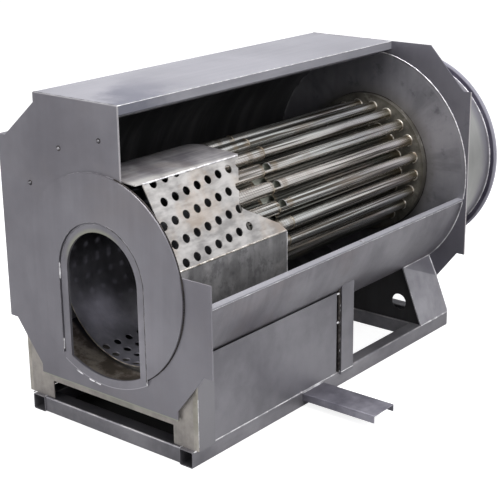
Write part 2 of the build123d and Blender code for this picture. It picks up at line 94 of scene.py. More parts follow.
# %% A wire that can be used in arithmetic
class Wire:
    """An output socket of a finish; + - * / ** and < > between wires and numbers add Math nodes."""

    def __init__(self, finish, socket):
        self.finish = finish
        self.socket = socket

    def _math(self, operation, first, second):
        return self.finish.node("Math", {"operation": operation}, {0: first, 1: second})

    def __add__(self, other):
        return self._math("ADD", self, other)

    __radd__ = __add__

    def __sub__(self, other):
        return self._math("SUBTRACT", self, other)

    def __rsub__(self, other):
        return self._math("SUBTRACT", other, self)

    def __mul__(self, other):
        return self._math("MULTIPLY", self, other)

    __rmul__ = __mul__

    def __truediv__(self, other):
        return self._math("DIVIDE", self, other)

    def __pow__(self, other):
        return self._math("POWER", self, other)

    def __lt__(self, other):
        return self._math("LESS_THAN", self, other)

    def __gt__(self, other):
        return self._math("GREATER_THAN", self, other)

    def over(self, low, high):
        """0 below low, 1 above high and a smooth rise between."""
        return self.finish.node(
            "MapRange",
            {"interpolation_type": "SMOOTHSTEP", "clamp": True},
            {"Value": self, "From Min": low, "From Max": high, "To Min": 0.0, "To Max": 1.0},
        )

    def fraction(self):
        """What is left after the whole number, from 0 to 1."""
        return self.finish.node("Math", {"operation": "FRACT"}, {0: self})

    def size(self):
        """The value without its sign."""
        return self.finish.node("Math", {"operation": "ABSOLUTE"}, {0: self})


print("a wire knows + - * / ** < > and over, fraction, size")


# %% A finish: one material and the method that adds its nodes
class Finish:
    """A material under construction, with a Principled shader at its end."""

    def __init__(self, name, metallic=0.0, roughness=0.5):
        self.material = bpy.data.materials.new(name)
        self.material.use_nodes = True
        self.tree = self.material.node_tree
        self.tree.nodes.clear()
        self.shader = self.tree.nodes.new("ShaderNodeBsdfPrincipled")
        output = self.tree.nodes.new("ShaderNodeOutputMaterial")
        self.tree.links.new(self.shader.outputs[0], output.inputs[0])
        self.shader.inputs["Metallic"].default_value = metallic
        self.shader.inputs["Roughness"].default_value = roughness

    def feed(self, socket, value):
        """Link a wire to a socket, or set the socket to a plain value."""
        if isinstance(value, Wire):
            self.tree.links.new(value.socket, socket)
        else:
            socket.default_value = value

    def node(self, kind, settings=None, inputs=None, out=0):
        """Add one node: its settings first, then its inputs; returns one of its outputs."""
        added = self.tree.nodes.new("ShaderNode" + kind)
        for key, value in (settings or {}).items():
            setattr(added, key, value)
        for key, value in (inputs or {}).items():
            self.feed(added.inputs[key], value)
        return Wire(self, added.outputs[out])

    def place(self):
        """Object coordinates: metres in the shared frame."""
        return self.node("TexCoord", out=3)

    def stretched(self, vector, scale):
        """The same vector with each axis scaled, to draw a pattern out into streaks."""
        return self.node("VectorMath", {"operation": "MULTIPLY"}, {0: vector, 1: scale})

    def axes(self, vector):
        """The three coordinates of a vector as three wires."""
        split = self.tree.nodes.new("ShaderNodeSeparateXYZ")
        self.feed(split.inputs[0], vector)
        return [Wire(self, output) for output in split.outputs]

    def point(self, x, y, z):
        """A vector from three wires or numbers."""
        return self.node("CombineXYZ", {}, {0: x, 1: y, 2: z})

    def noise(self, vector, scale, detail=3.0, rough=0.55):
        """Cloudy noise from 0 to 1."""
        return self.node(
            "TexNoise", {}, {"Vector": vector, "Scale": scale, "Detail": detail, "Roughness": rough}
        )

    def blend(self, factor, first, second):
        """Colour between first (factor 0) and second (factor 1)."""
        inputs = {0: factor}
        for key, colour in ((6, first), (7, second)):
            inputs[key] = colour if isinstance(colour, Wire) else (*colour, 1.0)
        return self.node("Mix", {"data_type": "RGBA", "clamp_factor": True}, inputs, out=2)

    def from_axis(self, x, z, centre_z):
        """Distance from a lengthwise axis at x = 0 and the given height."""
        up = z - centre_z
        return (x * x + up * up) ** 0.5

    def finish_with(self, colour=None, rough=None, height=None, depth=0.0005):
        """Feed the shader: colour, roughness and a bump from a height in 0 to 1."""
        if colour is not None:
            self.feed(self.shader.inputs["Base Color"], colour)
        if rough is not None:
            self.feed(self.shader.inputs["Roughness"], rough)
        if height is not None:
            bump = self.node("Bump", {}, {"Strength": 1.0, "Distance": depth, "Height": height})
            self.feed(self.shader.inputs["Normal"], bump)
        return self.material


print("shader helpers ready")

# %% [markdown]
# ## The camera of the photo
#
# The camera was fitted to the picture from the corners of the end plates, the rails and the drum.
# It stands high on the right front and looks down a little; a long lens keeps the lines nearly
# parallel. The rotation is built from the direction it looks in, so the numbers can be read.

# %% Camera from its place, direction and lens
SENSOR = 36.0
FOCAL_PX, PHOTO_PX = 1268.53, 500.0
cam_place = Vector((3.846, front_y - 3.681, 2.649))
yaw, pitch, roll = radians(39.178), radians(18.32), radians(-0.644)
look = Vector((-sin(yaw) * cos(pitch), cos(yaw) * cos(pitch), -sin(pitch)))
level = Vector((cos(yaw), sin(yaw), 0.0))
upward = level.cross(look)
right = cos(roll) * level + sin(roll) * upward
up = -sin(roll) * level + cos(roll) * upward
camera_data = bpy.data.cameras.new("photo_camera")
camera_data.lens = SENSOR * FOCAL_PX / PHOTO_PX
camera_data.sensor_width = SENSOR
camera = bpy.data.objects.new("photo_camera", camera_data)
camera.matrix_world = Matrix(
    (
        (right.x, up.x, -look.x, cam_place.x),
        (right.y, up.y, -look.y, cam_place.y),
        (right.z, up.z, -look.z, cam_place.z),
        (0.0, 0.0, 0.0, 1.0),
    )
)
bpy.context.scene.collection.objects.link(camera)
bpy.context.scene.camera = camera
print("lens", round(camera_data.lens, 2), "mm")

# %% [markdown]
# ## A plain white studio
#
# The photo is cut out on white. A white world would do it, but it would also flood the steel with
# light. So the world shows white only to the camera, and the light that falls on the steel stays
# moderate: a grey stays that grey. The floor adds a little glow of its own for the camera, which
# lifts it to white and leaves a soft shadow round the base frame. Inside the air box no glow is
# wanted, so the floor there is dark.

# %% World: white to the eye, softer as a light
WORLD_LIGHT = 0.55
scene = bpy.context.scene
scene.view_settings.view_transform = "Standard"
world = bpy.data.worlds.new("studio_world")
world.use_nodes = True
scene.world = world
world_tree = world.node_tree
world_tree.nodes.clear()
path = world_tree.nodes.new("ShaderNodeLightPath")
seen = world_tree.nodes.new("ShaderNodeBackground")
seen.inputs["Color"].default_value = (1.0, 1.0, 1.0, 1.0)
seen.inputs["Strength"].default_value = 1.0
light = world_tree.nodes.new("ShaderNodeBackground")
light.inputs["Color"].default_value = (0.96, 0.97, 1.0, 1.0)
light.inputs["Strength"].default_value = WORLD_LIGHT
mix = world_tree.nodes.new("ShaderNodeMixShader")
world_out = world_tree.nodes.new("ShaderNodeOutputWorld")
world_tree.links.new(path.outputs["Is Camera Ray"], mix.inputs[0])
world_tree.links.new(light.outputs[0], mix.inputs[1])
world_tree.links.new(seen.outputs[0], mix.inputs[2])
world_tree.links.new(mix.outputs[0], world_out.inputs[0])
print("world strength as a light:", WORLD_LIGHT)

# %% Floor: grey to the light, white to the camera, painted shade under the air box
FLOOR_HALF = 30.0
FLOOR_GLOW = 0.84
floor_mesh = bpy.data.meshes.new("studio_floor")
floor_corners = [(-FLOOR_HALF, -FLOOR_HALF, 0), (FLOOR_HALF, -FLOOR_HALF, 0),
                 (FLOOR_HALF, FLOOR_HALF, 0), (-FLOOR_HALF, FLOOR_HALF, 0)]
floor_mesh.from_pydata(floor_corners, [], [(0, 1, 2, 3)])
floor = bpy.data.objects.new("studio_floor", floor_mesh)
scene.collection.objects.link(floor)
floor_finish = Finish("pale_floor", roughness=0.9)
floor_place = floor_finish.place()
floor_tone = floor_finish.noise(floor_place, 0.8, 2.0)
floor_x, floor_y, _ = floor_finish.axes(floor_place)
box_front, box_rear = front_y + 0.02, front_y + 1.00
# Painted shade: under the air box the floor is painted near black and loses its glow.
under_box_shade = 1 - floor_x.size().over(0.46, 0.50)
under_box_shade = under_box_shade * (1 - floor_y.over(box_rear, box_rear + 0.08)) * (floor_y > box_front)
pale = floor_finish.blend(floor_tone, (0.44, 0.44, 0.44), (0.48, 0.48, 0.48))
floor_finish.finish_with(colour=floor_finish.blend(under_box_shade, pale, (0.03, 0.03, 0.03)))
to_camera = floor_finish.node("LightPath")
floor_finish.feed(floor_finish.shader.inputs["Emission Color"],
                  to_camera * (1 - under_box_shade) * FLOOR_GLOW)
floor_finish.shader.inputs["Emission Strength"].default_value = 1.0
floor_mesh.materials.append(floor_finish.material)
print("floor glow:", FLOOR_GLOW)


# %% [markdown]
# ## Soft lamps
#
# Bare steel shows its lamps, so their size matters more than their power: a large area lamp gives
# a wide soft sheen, and a narrow strip along the boiler draws the bright line on every tube. Point
# lamps would leave small hot dots instead.


# %% Area lamps: overhead, front, right side and the strip over the tubes
def lamp(name, place, target, size, power, long_side=None):
    """Area lamp at a place, turned to a target; long_side makes it a strip along Y."""
    data = bpy.data.lights.new(name, "AREA")
    data.shape = "RECTANGLE"
    data.size = size
    data.size_y = long_side or size
    data.energy = power
    item = bpy.data.objects.new(name, data)
    item.location = place
    item.rotation_euler = (Vector(target) - Vector(place)).to_track_quat("-Z", "Y").to_euler()
    scene.collection.objects.link(item)
    return item


lamp("lamp_overhead", (0.5, 0.0, 5.5), (0, 0, 0.8), 4.0, 290)
lamp("lamp_front", (-2.5, -6.0, 3.0), (0, 0, 0.8), 3.0, 100)
lamp("lamp_side", (5.2, -2.0, 3.0), (0, 0.3, 0.8), 2.6, 120)
lamp("lamp_strip", (1.4, -0.2, 4.3), (0.25, 0.2, 1.0), 0.3, 80, long_side=3.2)
print("area lamps placed")

# %% [markdown]
# ## A narrow light through the fire door
#
# In the photo the bottom of the combustion drum is lit through the door. A soft lamp strong enough
# for that would burn out the front plate, so a spot with a small cone does it alone. Its soft rim
# hides where the cone ends.

# %% A spot aimed at the bottom of the combustion drum
door_light = bpy.data.lights.new("lamp_door", "SPOT")
door_light.energy = 420
door_light.spot_size = radians(8.5)
door_light.spot_blend = 0.9
door_light.shadow_soft_size = 0.10
door_lamp = bpy.data.objects.new("lamp_door", door_light)
door_lamp.location = (1.25, front_y - 3.0, 1.75)
door_aim = Vector((-0.02, front_y + 0.30, 0.40)) - door_lamp.location
door_lamp.rotation_euler = door_aim.to_track_quat("-Z", "Y").to_euler()
scene.collection.objects.link(door_lamp)
print("door light power:", door_light.energy)

# %% [markdown]
# ## Steel plate
#
# The whole boiler is bare steel at different stages: satin plate with faint clouds, bright brushed
# sheet, tubes with brown stains, and parts darkened by soot. One function makes plate from two
# greys. The soft clouds carry most of the change; the streaks of rolling stay faint.


# %% Plate: clouds, fine grain and darker stains
def plate_finish(name, dark, light, rough=0.42, metal=0.75, grain=(30.0, 30.0, 2.0), stain=None,
                 stain_amount=0.25, cloud_scale=1.7, streaky=0.22):
    """Colour = blend(clouds + streaks, dark, light) with stains; roughness follows the clouds."""
    f = Finish(name, metallic=metal)
    place = f.place()
    clouds = f.noise(place, cloud_scale, 5.0, 0.6)
    streaks = f.noise(f.stretched(place, grain), 1.0, 3.0, 0.6)
    fine = f.noise(place, 220.0, 2.0, 0.5)
    tone = (clouds * (1 - streaky) + streaks * streaky).over(0.28, 0.72)
    colour = f.blend(tone, dark, light)
    if stain:
        spots = f.noise(place, 1.3, 4.0, 0.65).over(0.52, 0.72)
        colour = f.blend(spots * stain_amount, colour, stain)
    roughness = rough + (clouds - 0.5) * 0.22 + (streaks - 0.5) * 0.10
    return f, place, colour, roughness, streaks * 0.4 + fine * 0.6


def plain_plate(name, dark, light, **more):
    """A plate finish with nothing added."""
    f, place, colour, roughness, height = plate_finish(name, dark, light, **more)
    return f.finish_with(colour, roughness, height)


CASING_DARK = (0.215, 0.206, 0.230)
CASING_LIGHT = (0.300, 0.292, 0.320)
CASING_STAIN = (0.24, 0.205, 0.195)
casing = plain_plate("casing_plate", CASING_DARK, CASING_LIGHT, stain=CASING_STAIN)
web_steel = plain_plate("saddle_web_plate", (0.030, 0.029, 0.030), (0.065, 0.063, 0.066))
skirt_steel = plain_plate("skirt_plate", (0.25, 0.232, 0.22), (0.47, 0.435, 0.40), metal=0.5,
                          cloud_scale=9.0, stain=(0.22, 0.25, 0.19), stain_amount=0.5)
dark_plate = plain_plate("sooted_plate", (0.045, 0.043, 0.042), (0.12, 0.115, 0.108), rough=0.5,
                         metal=0.7, cloud_scale=7.0)
print("plain plates ready")


# %% [markdown]
# ## Base frame and outriggers
#
# The rails and cross beams are square tubes. Their rounded upper edges are worn and catch the light
# as a bright line; a bevel with its own material could show that, and here a mask over height
# paints it as a painted highlight without touching the mesh. The top of the front beam lies in the
# shadow of the air slot, so it is painted darker there.

# %% Rails and beams: a worn line and painted highlight a few millimetres under the top
WORN_HIGHLIGHT_Z = 0.0772
WORN_HIGHLIGHT_HALF = 0.0022
BEAM_TOP_Z = 0.0790
SLOT_HALF = 0.43


def frame_finish():
    """The worn line, a painted highlight, is where |z - WORN_HIGHLIGHT_Z| is small; the slot is the
    top of the front beam.
    """
    f, place, colour, roughness, height = plate_finish(
        "frame_plate", (0.185, 0.18, 0.198), (0.34, 0.33, 0.352), grain=(30.0, 2.0, 30.0),
        cloud_scale=3.0)
    x, y, z = f.axes(place)
    # Painted highlight with wear: a thin bright line where the rounded top edge meets the light.
    worn_highlight = ((z - WORN_HIGHLIGHT_Z).size() < WORN_HIGHLIGHT_HALF) * f.noise(place, 8.0, 3.0).over(0.35, 0.65)
    colour = f.blend(worn_highlight * 0.8, colour, (0.62, 0.60, 0.60))
    in_slot = (z > BEAM_TOP_Z) * (x.size() < SLOT_HALF) * (y < front_y + 0.10)
    colour = f.blend(in_slot * 0.6, colour, (0.055, 0.052, 0.062))
    return f.finish_with(colour, roughness, height)


frame_steel = frame_finish()
print("rails and beams ready")


# %% Outriggers: painted shade beside the rail
def outrigger_finish():
    """Bluish purple clouds; the painted shade at the rail end is a soft step of |x|, shifted by
    noise.
    """
    f, place, colour, roughness, height = plate_finish(
        "outrigger_plate", (0.17, 0.165, 0.20), (0.34, 0.33, 0.375), cloud_scale=6.0)
    x, y, z = f.axes(place)
    # Painted shade: darker next to the rail.
    near_rail_shade = 1 - (x.size() + (f.noise(place, 7.0) - 0.5) * 0.1).over(0.53, 0.64)
    colour = f.blend(near_rail_shade * 0.55, colour, (0.10, 0.095, 0.115))
    return f.finish_with(colour, roughness, height)


outrigger_steel = outrigger_finish()
print("outriggers ready")

# %% [markdown]
# ## Front plate and door frame
#
# The front plate is flame cut, and its edges are painted brighter than its face: bright cut metal
# and a painted highlight. The door frame was welded in; it has an olive tint inside the arch and a
# painted highlight along its foot. Painting an image would place these by hand; here each is a
# distance or a height, so it follows the shape.


# %% Front plate: painted highlight on its cut edges, olive along its lower edge
EDGE_WIDTH = 0.003


def front_plate_finish():
    """The edges are told apart by x and z alone, a few millimetres wide."""
    f, place, colour, roughness, height = plate_finish(
        "front_casing_plate", CASING_DARK, CASING_LIGHT, stain=CASING_STAIN, streaky=0.10)
    x, y, z = f.axes(place)
    # Painted highlight with the bright cut metal: the cut edge and the top edge are lighter.
    cut_edge_highlight = ((x - CUT_X).size() < EDGE_WIDTH) * (z > CUT_Z)
    worn_highlight = cut_edge_highlight + (z > plate_high.z - EDGE_WIDTH)
    colour = f.blend(worn_highlight * 0.7, colour, (0.52, 0.505, 0.52))
    colour = f.blend(z < plate_low.z + 0.005, colour, (0.40, 0.41, 0.34))
    return f.finish_with(colour, roughness, height)


front_casing = front_plate_finish()
print("front plate ready")


# %% Door frame: casing steel with an olive tint inside the arch and a painted highlight along the foot
ARCH_R = 0.222
FOOT_HIGHLIGHT_R = 0.506


def door_band_finish():
    """The tint follows the distance from the arch centre and fades below it and to the right."""
    f, place, colour, roughness, height = plate_finish(
        "door_band_plate", CASING_DARK, CASING_LIGHT, cloud_scale=6.0)
    x, y, z = f.axes(place)
    away = f.from_axis(x, z, DISC_Z)
    arch = (1 - away.over(ARCH_R, ARCH_R + 0.020)) * (z - DISC_Z).over(0.02, 0.16)
    arch = arch * (1 - x.over(0.02, 0.16))
    colour = f.blend(arch * 0.8, colour, (0.36, 0.36, 0.29))
    # Painted highlight: a lighter line along the rounded foot.
    colour = f.blend((away > FOOT_HIGHLIGHT_R) * 0.8, colour, (0.50, 0.48, 0.52))
    return f.finish_with(colour, roughness, height)


door_band = door_band_finish()
print("door frame ready")

# %% [markdown]
# ## Air box and saddle
#
# The air box is a thin sheet box under the door. One sheet has a clean outside and an inside that
# is painted dark as shade, and both belong to one solid, so the finish tells them apart by how far
# a point is from the middle. Over a crease line the saddle plate is painted darker: painted shade
# for a small facet that turns away from the light.


# %% Air box: casing steel outside, painted shade on the faces that look into the box
corner_low, corner_high = (Vector(c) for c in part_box("skirt_corner_right"))


def air_box_finish(name, dark, light, side_only=False):
    """Inside is told by x; side_only keeps the given greys for the front face of a corner."""
    f, place, colour, roughness, height = plate_finish(
        name, dark, light, cloud_scale=7.0 if side_only else 2.4, metal=0.5 if side_only else 0.75,
        streaky=0.22 if side_only else 0.06)
    x, y, z = f.axes(place)
    if side_only:
        clouds = f.noise(place, 6.0, 4.0, 0.65).over(0.5, 0.72)
        colour = f.blend(clouds * 0.5, colour, (0.13, 0.12, 0.085))
        round_side = y.over(corner_low.y + 0.003, corner_low.y + 0.007)
        colour = f.blend(round_side, colour, (0.215, 0.21, 0.225))
    else:
        # Painted shade: the faces that look into the box are painted near black.
        inside = x.size() < panel_high.x - 0.003
        colour = f.blend(inside, colour, (0.018, 0.018, 0.020))
    return f.finish_with(colour, roughness, height)


air_box = air_box_finish("air_box_plate", (0.150, 0.146, 0.162), (0.275, 0.268, 0.29))
corner_steel = air_box_finish("corner_strip", (0.33, 0.315, 0.27), (0.54, 0.50, 0.46), True)
print("air box ready")


# %% Saddle sides: painted shade on the small facet above the crease
SADDLE_HEAD_Z = 0.3895
SADDLE_BEND_Z = 0.303


def saddle_finish():
    """The crease falls from the head at the front to the bend at the rear plate."""
    f, place, colour, roughness, height = plate_finish(
        "saddle_plate", (0.28, 0.272, 0.298), (0.44, 0.43, 0.46), cloud_scale=5.0)
    x, y, z = f.axes(place)
    fall = (SADDLE_HEAD_Z - SADDLE_BEND_Z) / (rear_low.y - saddle_low.y)
    crease = SADDLE_HEAD_Z - (y - saddle_low.y) * fall
    # Painted shade: above the crease line the plate is darkened, as a facet turned from the light.
    colour = f.blend((z - crease).over(-0.003, 0.003) * 0.5, colour, (0.15, 0.145, 0.165))
    return f.finish_with(colour, roughness, height)


saddle_steel = saddle_finish()
print("saddle ready")

# %% [markdown]
# ## Smokebox drum and flange
#
# The drum was rolled and welded to its flange. For about ten centimetres next to the flange it is
# painted purple grey, with a ragged edge: the distance to the flange plus a little noise.


# %% Smokebox drum: pale olive, purple grey near the flange
def drum_finish():
    """Tint = a soft step of y, its edge moved by noise."""
    f, place, colour, roughness, height = plate_finish(
        "drum_plate", (0.37, 0.37, 0.36), (0.50, 0.50, 0.485), grain=(2.0, 30.0, 2.0))
    x, y, z = f.axes(place)
    clouds = f.noise(place, 3.0, 3.0)
    near_flange = (y + (clouds - 0.5) * 0.10).over(drum_high.y - 0.12, drum_high.y - 0.05)
    colour = f.blend(near_flange * 0.7, colour, (0.24, 0.23, 0.27))
    return f.finish_with(colour, roughness, height)


drum_steel = drum_finish()
print("smokebox drum ready")


# %% Flange: a dark ring with a light lilac painted highlight along its rim
HIGHLIGHT_RIM_R = 0.546


def flange_finish():
    """The painted highlight is a soft step of the distance from the drum's axis, its edge moved by
    noise.
    """
    f, place, colour, roughness, height = plate_finish(
        "flange_plate", (0.055, 0.050, 0.075), (0.125, 0.115, 0.150), cloud_scale=4.0)
    x, y, z = f.axes(place)
    away = f.from_axis(x, z, DRUM_Z) + (f.noise(place, 5.0, 3.0) - 0.5) * 0.012
    colour = f.blend(away.over(HIGHLIGHT_RIM_R, HIGHLIGHT_RIM_R + 0.010), colour, (0.50, 0.49, 0.56))
    return f.finish_with(colour, roughness, height)


flange_steel = flange_finish()
print("flange ready")

# %% [markdown]
# ## Top cover and rear plate
#
# The cover is brushed sheet with a smoky smear near its front end. It faces the lamp overhead, so
# it is kept rougher and less metallic than the rest; otherwise it would burn out to white when it
# is seen from above. Smoke on the rear plate has run outwards from the tubes: noise over a
# direction, not over a place, gives streaks that all point away from one centre.


# %% Cover: brushed along the boiler, with a darker smear near its front end
SMEAR_X = 0.16
SMEAR_LEAN = 0.55


def cover_finish():
    """The smear is a band of x + 0.55 y, broken up by noise, and ends 0.6 m behind the front."""
    f, place, colour, roughness, height = plate_finish(
        "cover_plate", (0.198, 0.196, 0.218), (0.280, 0.276, 0.303), rough=0.50, metal=0.35,
        grain=(50.0, 1.6, 50.0), streaky=0.35, cloud_scale=1.2)
    x, y, z = f.axes(place)
    across = x + (y - front_y) * SMEAR_LEAN
    smoke = f.noise(place, 3.0, 5.0, 0.65)
    smear = (1 - (across - SMEAR_X + (smoke - 0.5) * 0.5).size().over(0.03, 0.22)) * 0.8
    smear = smear * (1 - (y - front_y + (smoke - 0.5) * 0.3).over(0.22, 0.62))
    colour = f.blend(smear, colour, (0.100, 0.102, 0.130))
    return f.finish_with(colour, roughness + smear * 0.1, height)


cover = cover_finish()
print("cover ready")


# %% Rear plate: mottled, with smoke streaks that run out from the tube plate
def rear_plate_finish():
    """Streaks are noise over the direction from the tube plate's centre, so they run outwards."""
    f, place, colour, roughness, height = plate_finish(
        "rear_casing_plate", (0.225, 0.22, 0.247), (0.36, 0.353, 0.385), cloud_scale=3.0)
    x, y, z = f.axes(place)
    up = z - TUBE_Z
    away = f.from_axis(x, z, TUBE_Z)
    rays = f.noise(f.point(x / away, up / away, away * 0.6), 5.0, 4.0, 0.6)
    smudge = f.noise(place, 11.0, 5.0, 0.7).over(0.55, 0.72)
    inside = away < 0.60
    colour = f.blend(rays.over(0.48, 0.70) * 0.45 * inside, colour, (0.14, 0.14, 0.155))
    colour = f.blend(smudge * 0.5, colour, (0.10, 0.097, 0.115))
    near = 1 - away.over(0.385, 0.47)
    colour = f.blend(near * 0.45, colour, (0.17, 0.155, 0.13))
    outer = f.from_axis(x, z, SHELL_Z) > SHELL_R + 0.002
    colour = f.blend(outer * 0.7, colour, (0.125, 0.12, 0.145))
    # Painted highlight: a bright line along the plate's right edge.
    colour = f.blend(x > rear_high.x - 0.002, colour, (0.60, 0.57, 0.58))
    return f.finish_with(colour, roughness, height)


rear_casing = rear_plate_finish()
print("rear plate ready")

# %% [markdown]
# ## Shell
#
# The shell is one rolled plate, grey outside and sooted inside, and its wall is only a few
# millimetres thick. Two materials would need a seam in the mesh; the distance from the axis tells
# both sides apart with no seam. Inside, long vertical noise hangs down the wall like dried water.

# %% Shell: casing plate outside, dark inside, burnt clean behind the door
BURNT_END = 0.17
BURNT_TOP = 0.45


def shell_finish():
    """The wall is told apart by its distance from the axis: inside r < 0.621 m is sooted.

    Behind the door, in front of the drum, the heat has burnt the soot off to an olive brown.
    """
    f, place, colour, roughness, height = plate_finish(
        "shell_plate", (0.135, 0.129, 0.146), (0.275, 0.267, 0.288), stain=(0.185, 0.15, 0.15),
        stain_amount=0.5, grain=(2.5, 22.0, 2.5), cloud_scale=3.2)
    x, y, z = f.axes(place)
    inside = f.from_axis(x, z, SHELL_Z) < SHELL_R - 0.004
    hanging = f.noise(f.stretched(place, (1.3, 9.0, 1.3)), 1.0, 5.0, 0.6)
    soot = f.blend(hanging.over(0.42, 0.70), (0.050, 0.050, 0.053), (0.110, 0.108, 0.113))
    to_rear = (y + (hanging - 0.5) * 0.3).over(front_y + 1.35, front_y + 2.05)
    soot = f.blend(to_rear * 0.2, soot, (0.16, 0.158, 0.165))
    colour = f.blend(inside, colour, soot)
    brown = f.blend(f.noise(place, 9.0, 4.0, 0.65).over(0.40, 0.62), (0.18, 0.148, 0.122),
                    (0.54, 0.48, 0.41))
    burnt = inside * (1 - y.over(front_y + BURNT_END, front_y + BURNT_END + 0.03))
    burnt = burnt * (1 - z.over(BURNT_TOP, BURNT_TOP + 0.15))
    colour = f.blend(burnt, colour, brown)
    return f.finish_with(colour, roughness + inside * 0.1, height, depth=0.0006)


shell_plate = shell_finish()
print("shell ready")

# %% [markdown]
# ## Tubes, tube plates and the firebox
#
# These are the parts that the eye goes to. The tubes are drawn steel, shiny and streaked along
# their length, with fine slanting marks from the polishing belt and with brown heat bands where
# they were welded. The firebox is brushed bright sheet with warm patches round its holes.


# %% Tubes: bright drawn steel with heat bands at the joint and at the ends
FIRST_BAND = 0.843
SECOND_BAND = 0.932
SKIN_DEPTH = 0.0030  # the bright finish reaches this deep into the 4 mm wall of a tube


def tube_finish(name, dark, light, belt_amount, ring_radius, count):
    """Bands of heat tint are smooth bumps of y around the joint and the two tube plates.

    The bore is told by the distance from the nearest tube axis: along the ring it is the
    fraction of a tube step, across it the distance from the ring. It is dull scale, not bright.
    """
    f = Finish(name, metallic=0.95)
    place = f.place()
    x, y, z = f.axes(place)
    streaks = f.noise(f.stretched(place, (85.0, 1.2, 85.0)), 1.0, 2.0, 0.55)
    blotch = f.noise(f.stretched(place, (9.0, 3.0, 9.0)), 1.0, 4.0, 0.6)
    belt = f.node("TexWave", {"bands_direction": "DIAGONAL"},
                  {"Vector": place, "Scale": 38.0, "Distortion": 1.5, "Detail": 1.0}, out=1)
    tints = f.noise(f.stretched(place, (7.0, 0.8, 7.0)), 1.0, 2.0, 0.5).over(0.42, 0.58)
    tinted = f.blend(tints, light, (light[0] * 0.93, light[1] * 0.985, light[2] * 1.01))
    colour = f.blend(streaks.over(0.36, 0.56), dark, tinted)
    colour = f.blend(belt * belt_amount, colour, (0.10, 0.098, 0.085))
    colour = f.blend(blotch.over(0.5, 0.70) * 0.5, colour, (0.36, 0.28, 0.215))
    wander = y + (blotch - 0.5) * 0.03 - front_y
    first_band = (wander - FIRST_BAND).size().over(0.006, 0.028)
    second_band = (wander - SECOND_BAND).size().over(0.008, 0.034)
    near_joint = 2 - first_band - second_band
    colour = f.blend(near_joint * 0.42, colour, (0.36, 0.27, 0.17))
    near_rear = (y + (blotch - 0.5) * 0.06).over(front_y + 1.90, front_y + 2.045)
    colour = f.blend(near_rear * 0.6, colour, (0.27, 0.21, 0.12))
    away = f.from_axis(x, z, TUBE_Z)
    turn = f.node("Math", {"operation": "ARCTAN2"}, {0: x, 1: z - TUBE_Z}) * (count / (2 * pi))
    # The outer ring has its first tube half a step from the top, the inner ring has one on top.
    half_step = 0.0 if count == OUTER_COUNT else 0.5
    aside = (turn + 100.0 + half_step).fraction() - 0.5
    aside = aside * (2 * pi * ring_radius / count)
    bore = (aside * aside + (away - ring_radius) ** 2) ** 0.5 < TUBE_R - SKIN_DEPTH
    colour = f.blend(bore, colour, (0.36, 0.37, 0.33))
    f.feed(f.shader.inputs["Metallic"], 0.95 - bore * 0.95)
    roughness = 0.13 + streaks * 0.14 + blotch * 0.08
    return f.finish_with(colour, roughness, streaks * 0.6 + belt * 0.4, depth=0.0004)


tube_steel = tube_finish("fire_tube_steel", (0.16, 0.142, 0.118), (1.0, 0.95, 0.90), 0.20,
                         OUTER_RING_R, OUTER_COUNT)
# Painted shade: the inner tubes and the lower outer tubes take a darker copy of the tube finish.
inner_tube_painted_shade = tube_finish("inner_tube_painted_shade", (0.045, 0.043, 0.036), (0.26, 0.25, 0.22),
                               0.0, INNER_RING_R, INNER_COUNT)
print("fire tube finishes ready")

# %% [markdown]
# ## Rear tube plate
#
# The tubes end in a thick drilled plate that the welder's smoke has browned. It is darker than
# everything round it, and that makes the tube ends readable. Its rusty rim is a soft step of the
# distance from its centre; scuffs and smoke are two noises of different size.


# %% Tube plate: brown-grey with a rusty rim
RUSTY_RIM_R = 0.360


def tube_plate_finish():
    """The rim is told by the distance from the plate's centre; smoke marks come from noise."""
    f, place, colour, roughness, height = plate_finish(
        "tube_plate_steel", (0.075, 0.072, 0.062), (0.19, 0.182, 0.160), metal=0.6,
        cloud_scale=8.0)
    x, y, z = f.axes(place)
    away = f.from_axis(x, z, TUBE_Z)
    rim = (away + (f.noise(place, 14.0) - 0.5) * 0.03).over(RUSTY_RIM_R, RUSTY_RIM_R + 0.020)
    colour = f.blend(rim * 0.45, colour, (0.075, 0.065, 0.052))
    smoke = f.noise(place, 18.0, 4.0, 0.7).over(0.48, 0.66)
    colour = f.blend(smoke * 0.5, colour, (0.045, 0.042, 0.038))
    scuffs = f.noise(place, 12.0, 5.0, 0.7).over(0.54, 0.68)
    colour = f.blend(scuffs * 0.5, colour, (0.34, 0.325, 0.30))
    return f.finish_with(colour, roughness, height, depth=0.0006)


tube_plate_steel = tube_plate_finish()
print("tube plate ready")

# %% [markdown]
# ## Bright sheet of the firebox
#
# The perforated sheet and the crown are the brightest steel here: new sheet, brushed, with straw
# patches where it got hot. Brushing is noise squeezed along one axis. It stays weak in the colour
# and stronger in the bump, because real brushing shows mostly in the reflections.


# %% Sheet: fine brushing, large soft warm patches and small darker marks
def bright_finish(name, dark, light, warm, grain, warm_amount=0.5):
    """Returns the finish with its colour, so that a band can be laid over it."""
    f = Finish(name, metallic=0.6)
    place = f.place()
    brush = f.noise(f.stretched(place, grain), 1.0, 3.0, 0.6)
    patches = f.noise(place, 5.0, 4.0, 0.6)
    cloudy = f.noise(place, 8.0, 3.0, 0.55)
    marks = f.noise(place, 24.0, 4.0, 0.7)
    colour = f.blend((brush * 0.4 + cloudy * 0.6).over(0.36, 0.62), dark, light)
    colour = f.blend(patches.over(0.46, 0.68) * warm_amount, colour, warm)
    colour = f.blend(marks.over(0.58, 0.74) * 0.25, colour, (0.26, 0.24, 0.22))
    return f, place, colour, 0.30 + patches * 0.22, brush


